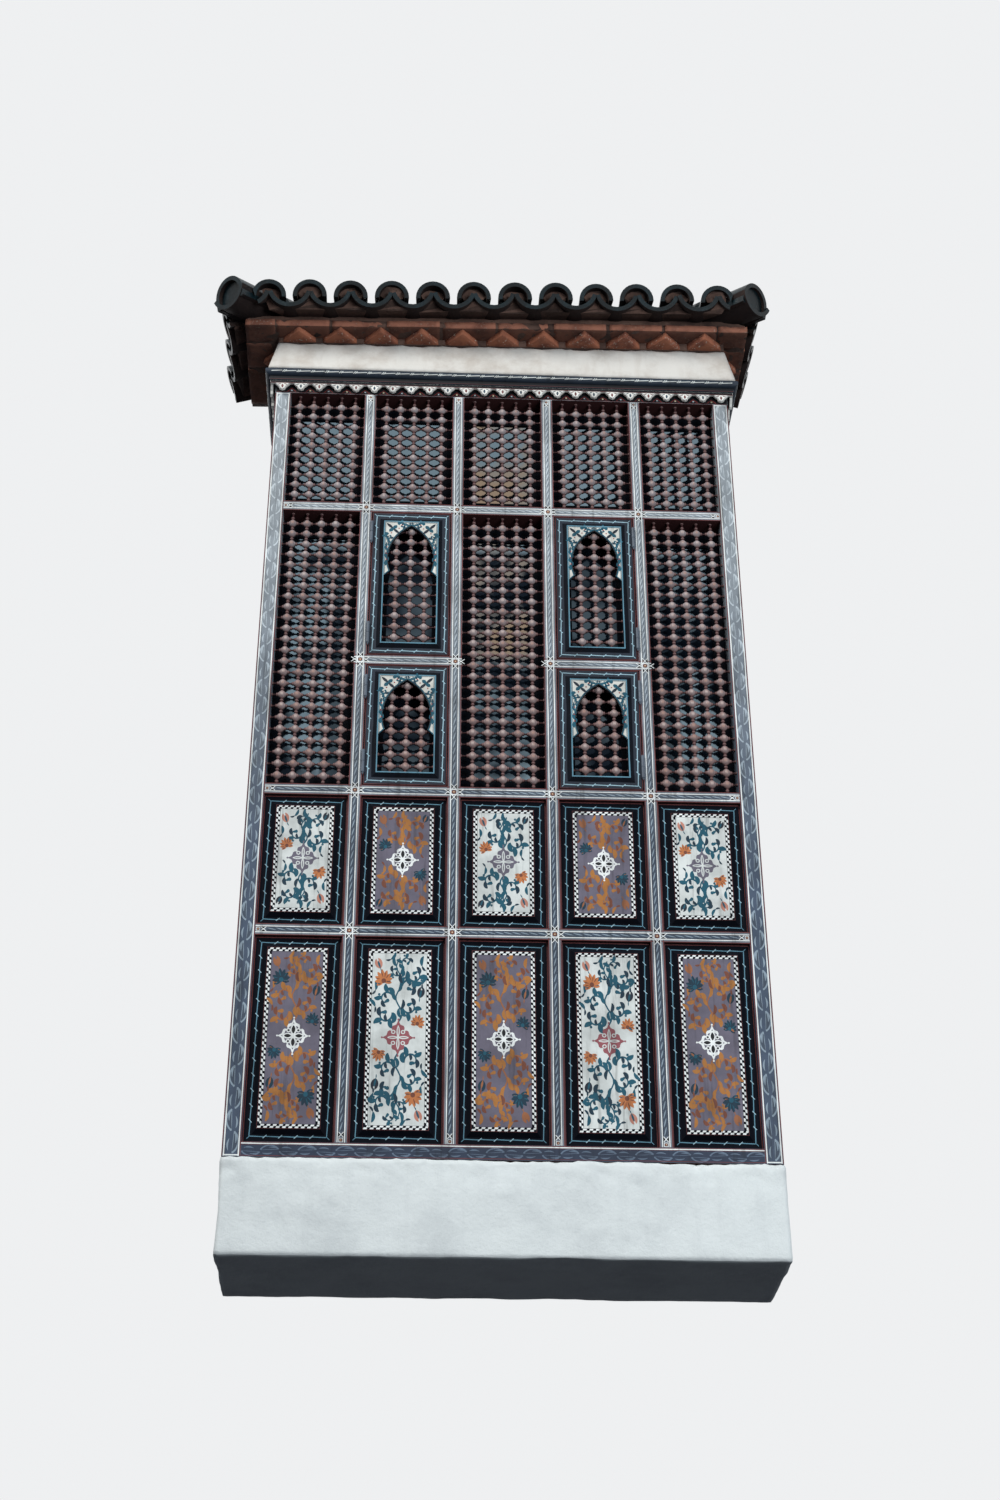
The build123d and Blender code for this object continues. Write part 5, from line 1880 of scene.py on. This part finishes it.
def board_corner(side, half):
    """The band along one half of the arch, and the arabesque in its corner."""
    tail_x, tail_z = arch_edge(half, 0.0)[-1]
    for out, width, key, lift in ((0.0036, 0.0066, "teal", 0.0004), (0.0014, 0.0026, "black", 0.0005)):
        board_paint.ribbon([(side * x, z) for x, z in arch_edge(half, out)], width, key, lift)
    foot_z = tail_z - arch_foot
    tail = [(side * (tail_x + 0.002), tail_z - 0.001), (side * (half - 0.002), foot_z + 0.002)]
    board_paint.ribbon(tail, 0.0036, "teal", 0.0005)
    edge_x = side * (half - 0.0022)
    board_paint.line(edge_x, -0.002, edge_x, foot_z + 0.004, 0.0020, "teal")
    for dx, dz, radius, start, spin in board_scrolls:
        begin = start if side > 0 else pi - start
        scroll(board_paint, board_keys, side * (half - dx * mm), -dz * mm, radius * mm * 1.16, begin,
               side * spin, 0.58)
    for k in range(4):
        heading = pi / 4 + k * pi / 2
        lance = (k % 2 == 0) == (side > 0)
        long, wide, key, lift = (0.033, 0.0105, "night", 0.0007) if lance else (0.020, 0.0145, "teal", 0.0006)
        board_paint.leaf(side * (half - star_x), star_z, heading, long, wide, key, 0.0, lift)
    board_paint.dot(side * (half - star_x), star_z, 0.0040, "teal", 0.0009)
    for x, z in red_dots:
        board_paint.dot(side * (half - x), z, 0.0026, "red", 0.0006, 7)
    for i, z in enumerate((-0.106, -0.124, -0.142, -0.160, -0.178)):
        bend = side * (0.9 if i % 2 else -0.9)
        turn = -pi / 2 - bend * 0.5
        board_paint.leaf(side * (half - 0.0085), z, turn, 0.027, 0.0104, "teal", bend, 0.0004)


for column, span in leaf_spots:
    half = (column_width(column) - 2 * leaf_clearance) / 2 - stile_width
    top = span[1] - leaf_clearance - stile_width
    board_paint.on(front_place(column, top, -leaf_raise))
    for side in (-1, 1):
        board_corner(side, half)
    board_paint.line(-half + 0.003, -0.0022, half - 0.003, -0.0022, 0.0018, "teal")
board_paint.finished("board_paint")

# %% [markdown]
# The valance is a board of white lobes, each with a painted drop in green-blue or red. A black strip along
# its top is painted shade under the cornice. Behind it the head rail is painted black as shade, and small
# triangles fill the gaps between lobes when seen from the street below.
# %% Valance and head rail
scallop_pitch = 0.072
valance_height = 0.044
scallop_height = 0.032
valance_front = 0.021
valance_thickness = 0.010


def scallop_points(x, inset):
    """The lower edge of one lobe, from left to right, moved inwards by inset."""
    top = -(valance_height - scallop_height)
    lobe_z, lobe_drop, lobe = top - 0.017, 0.015, 0.0145
    shoulder = [(0.030, top - inset * 0.4), (0.0215, top - 0.0105 + inset * 0.6)]
    points = [(x - reach + inset, z) for reach, z in shoulder]
    for i in range(9):
        angle = pi * (1 + i / 8)
        points.append((x + (lobe - inset) * cos(angle), lobe_z + (lobe_drop - inset) * sin(angle)))
    return points + [(x + reach - inset, z) for reach, z in shoulder[::-1]]


def valance_painting(sketch, place, length):
    """One run of the scalloped board."""
    sketch.on(place)
    strip = valance_height - scallop_height
    # Painted shade: a black strip for the cornice's shadow on the valance's top.
    sketch.box(-length / 2 + 0.001, -strip + 0.001, length / 2 - 0.001, -0.001, "black", 0.0003)
    sketch.line(-length / 2, -strip + 0.0005, length / 2, -strip + 0.0005, 0.0020, "oxblood", 0.0004)
    for i, x in enumerate(centred(length, scallop_pitch, scallop_pitch / 2)):
        sketch.ribbon(scallop_points(x, 0.0026), 0.0014, "dark_slate", 0.0003)
        drop, tip = ("deep_teal", "slate") if i % 2 else ("oxblood", "rose")
        sketch.leaf(x, -0.019, -pi / 2, 0.017, 0.0080, drop, 0.0, 0.0004)
        sketch.dot(x, -0.028, 0.0020, tip, 0.0006, 7)
        for side in (-1, 1):
            turn = side * 1.0 - upright
            sketch.leaf(x + side * 0.006, -0.015, turn, 0.014, 0.0034, drop, side * 0.4, 0.0004)


valance_paint = Sketch("valance_painting")
front_length = 2 * (half_width + valance_front)
valance_painting(valance_paint, at(0, front_y - valance_front, ceiling_z), front_length)
side_length = -front_y + valance_front - valance_thickness
for side in (-1, 1):
    corner = at(side * (half_width + valance_front), -side_length / 2, ceiling_z)
    valance_painting(valance_paint, corner @ quarter(side), side_length)
valance_paint.on(at(0, front_y, head_z))
# Painted shade: the head rail's front is black where the valance shades it.
valance_paint.box(-half_width + 0.001, 0.001, half_width - 0.001, 0.043, "black", 0.0002)
valance_paint.line(-half_width + 0.002, 0.0022, half_width - 0.002, 0.0022, 0.0022, "oxblood", 0.0004)
for i, x in enumerate(centred(front_length, scallop_pitch, scallop_pitch / 2)):
    between = x + scallop_pitch / 2
    if abs(between) < half_width - 0.02:
        key = "cream" if i % 2 else "pale_blue"
        for a, b in (((-0.017, 0.006), (0.0, 0.022)), ((0.0, 0.022), (0.017, 0.006))):
            valance_paint.ribbon([(between + a[0], a[1]), (between + b[0], b[1])], 0.0018, "red", 0.0004)
        valance_paint.dot(between, 0.012, 0.0038, key, 0.0004, 6)
valance_paint.finished("valance_paint")

# %% [markdown]
# The round moulding over the valance is painted as a rope: long slanted white strokes with two short
# ones between them. The strokes are short, so each lies on a small face that touches the round.
# %% Rope on the cornice
rope_radius = 0.017
rope_nose = 0.042 - rope_radius
rope_z = ceiling_z + 0.020 + rope_radius
cornice_paint = Sketch("cornice_rope_painting")
rope_strokes = ((0.0, 0.042, 0.06), (0.027, 0.013, 0.8), (0.034, 0.013, 0.8))


def rope(place, length):
    """White strokes along a run of moulding whose middle is at the place, facing -y."""
    count = round(length / 0.056)
    pace = length / count
    for i in range(count):
        x = -length / 2 + pace * (i + 0.5)
        for dx, long, turn in rope_strokes:
            if abs(x + dx) + long / 2 > length / 2 - 0.001:
                continue
            face = place @ at(x + dx, 0, 0) @ Matrix.Rotation(0.26, 4, "X")
            cornice_paint.on(face @ at(0, -rope_radius - 0.0002, 0))
            a, b = long / 2 * cos(turn), min(0.0045, long / 2 * sin(turn))
            cornice_paint.ribbon([(-a, -b), (a, b)], 0.0034, "bone", 0.0004)


rope(at(0, front_y - rope_nose, rope_z), 2 * (half_width + rope_nose))
side_run = -front_y + rope_nose
for side in (-1, 1):
    middle = at(side * (half_width + rope_nose), -side_run / 2, rope_z)
    rope(middle @ quarter(side), side_run)
soffit_reach = 0.026
soffit_half = half_width + 0.024
# Painted shade: a black strip on the cornice's underside stands for its shadow over the valance.
cornice_paint.on(at(0, front_y - soffit_reach, ceiling_z))
cornice_paint.box(-soffit_half, 0.001, soffit_half, 0.019, "black", 0.0003)
cornice_paint.line(-soffit_half, 0.0035, soffit_half, 0.0035, 0.0014, "oxblood", 0.0004)
cornice_paint.finished("cornice_paint")

# %% [markdown]
# The leaves hang on barrel hinges of two knuckles. A turned finial closes each barrel at its lower end,
# and a dark ring marks the split between the knuckles.
# %% Hinge finials
hinge_radius, hinge_length, hinge_inset = 0.006, 0.090, 0.095
hinge_forms = []
ring_profile = [(-0.0012, 0.0060), (-0.0012, 0.0066), (0.0012, 0.0066), (0.0012, 0.0060)]
tip_profile = [(-0.0105, 0.0004), (-0.0085, 0.0022), (-0.004, 0.0036), (-0.001, 0.0050), (0.0, 0.0062),
               (0.0015, 0.0062)]
for column, span in leaf_spots:
    outward, jamb = (-1, columns[column][0]) if column == leaf_columns[0] else (1, columns[column][1])
    x = jamb - outward * leaf_clearance / 2
    for level in (span[0] + hinge_inset, span[1] - hinge_inset):
        for profile, dz in ((ring_profile, 0.0), (tip_profile, -hinge_length / 2)):
            points, faces, _ = ring_form(profile, 10, "Z")
            hinge_forms.append((points + np.array([x, front_y - hinge_radius, level + dz]), faces.tolist()))
settled("hinge_finials", join_forms(hinge_forms), "hinge", "hinge_iron")

# %% [markdown]
# The last step prints how far the dressed part's box lies from the CAD box at each end of each axis.
# %% Sizes and the end
dressed_low, dressed_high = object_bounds()
for axis in range(3):
    low, high = dressed_low[axis] - cad_low[axis], dressed_high[axis] - cad_high[axis]
    print("XYZ"[axis], round(low, 4), round(high, 4))
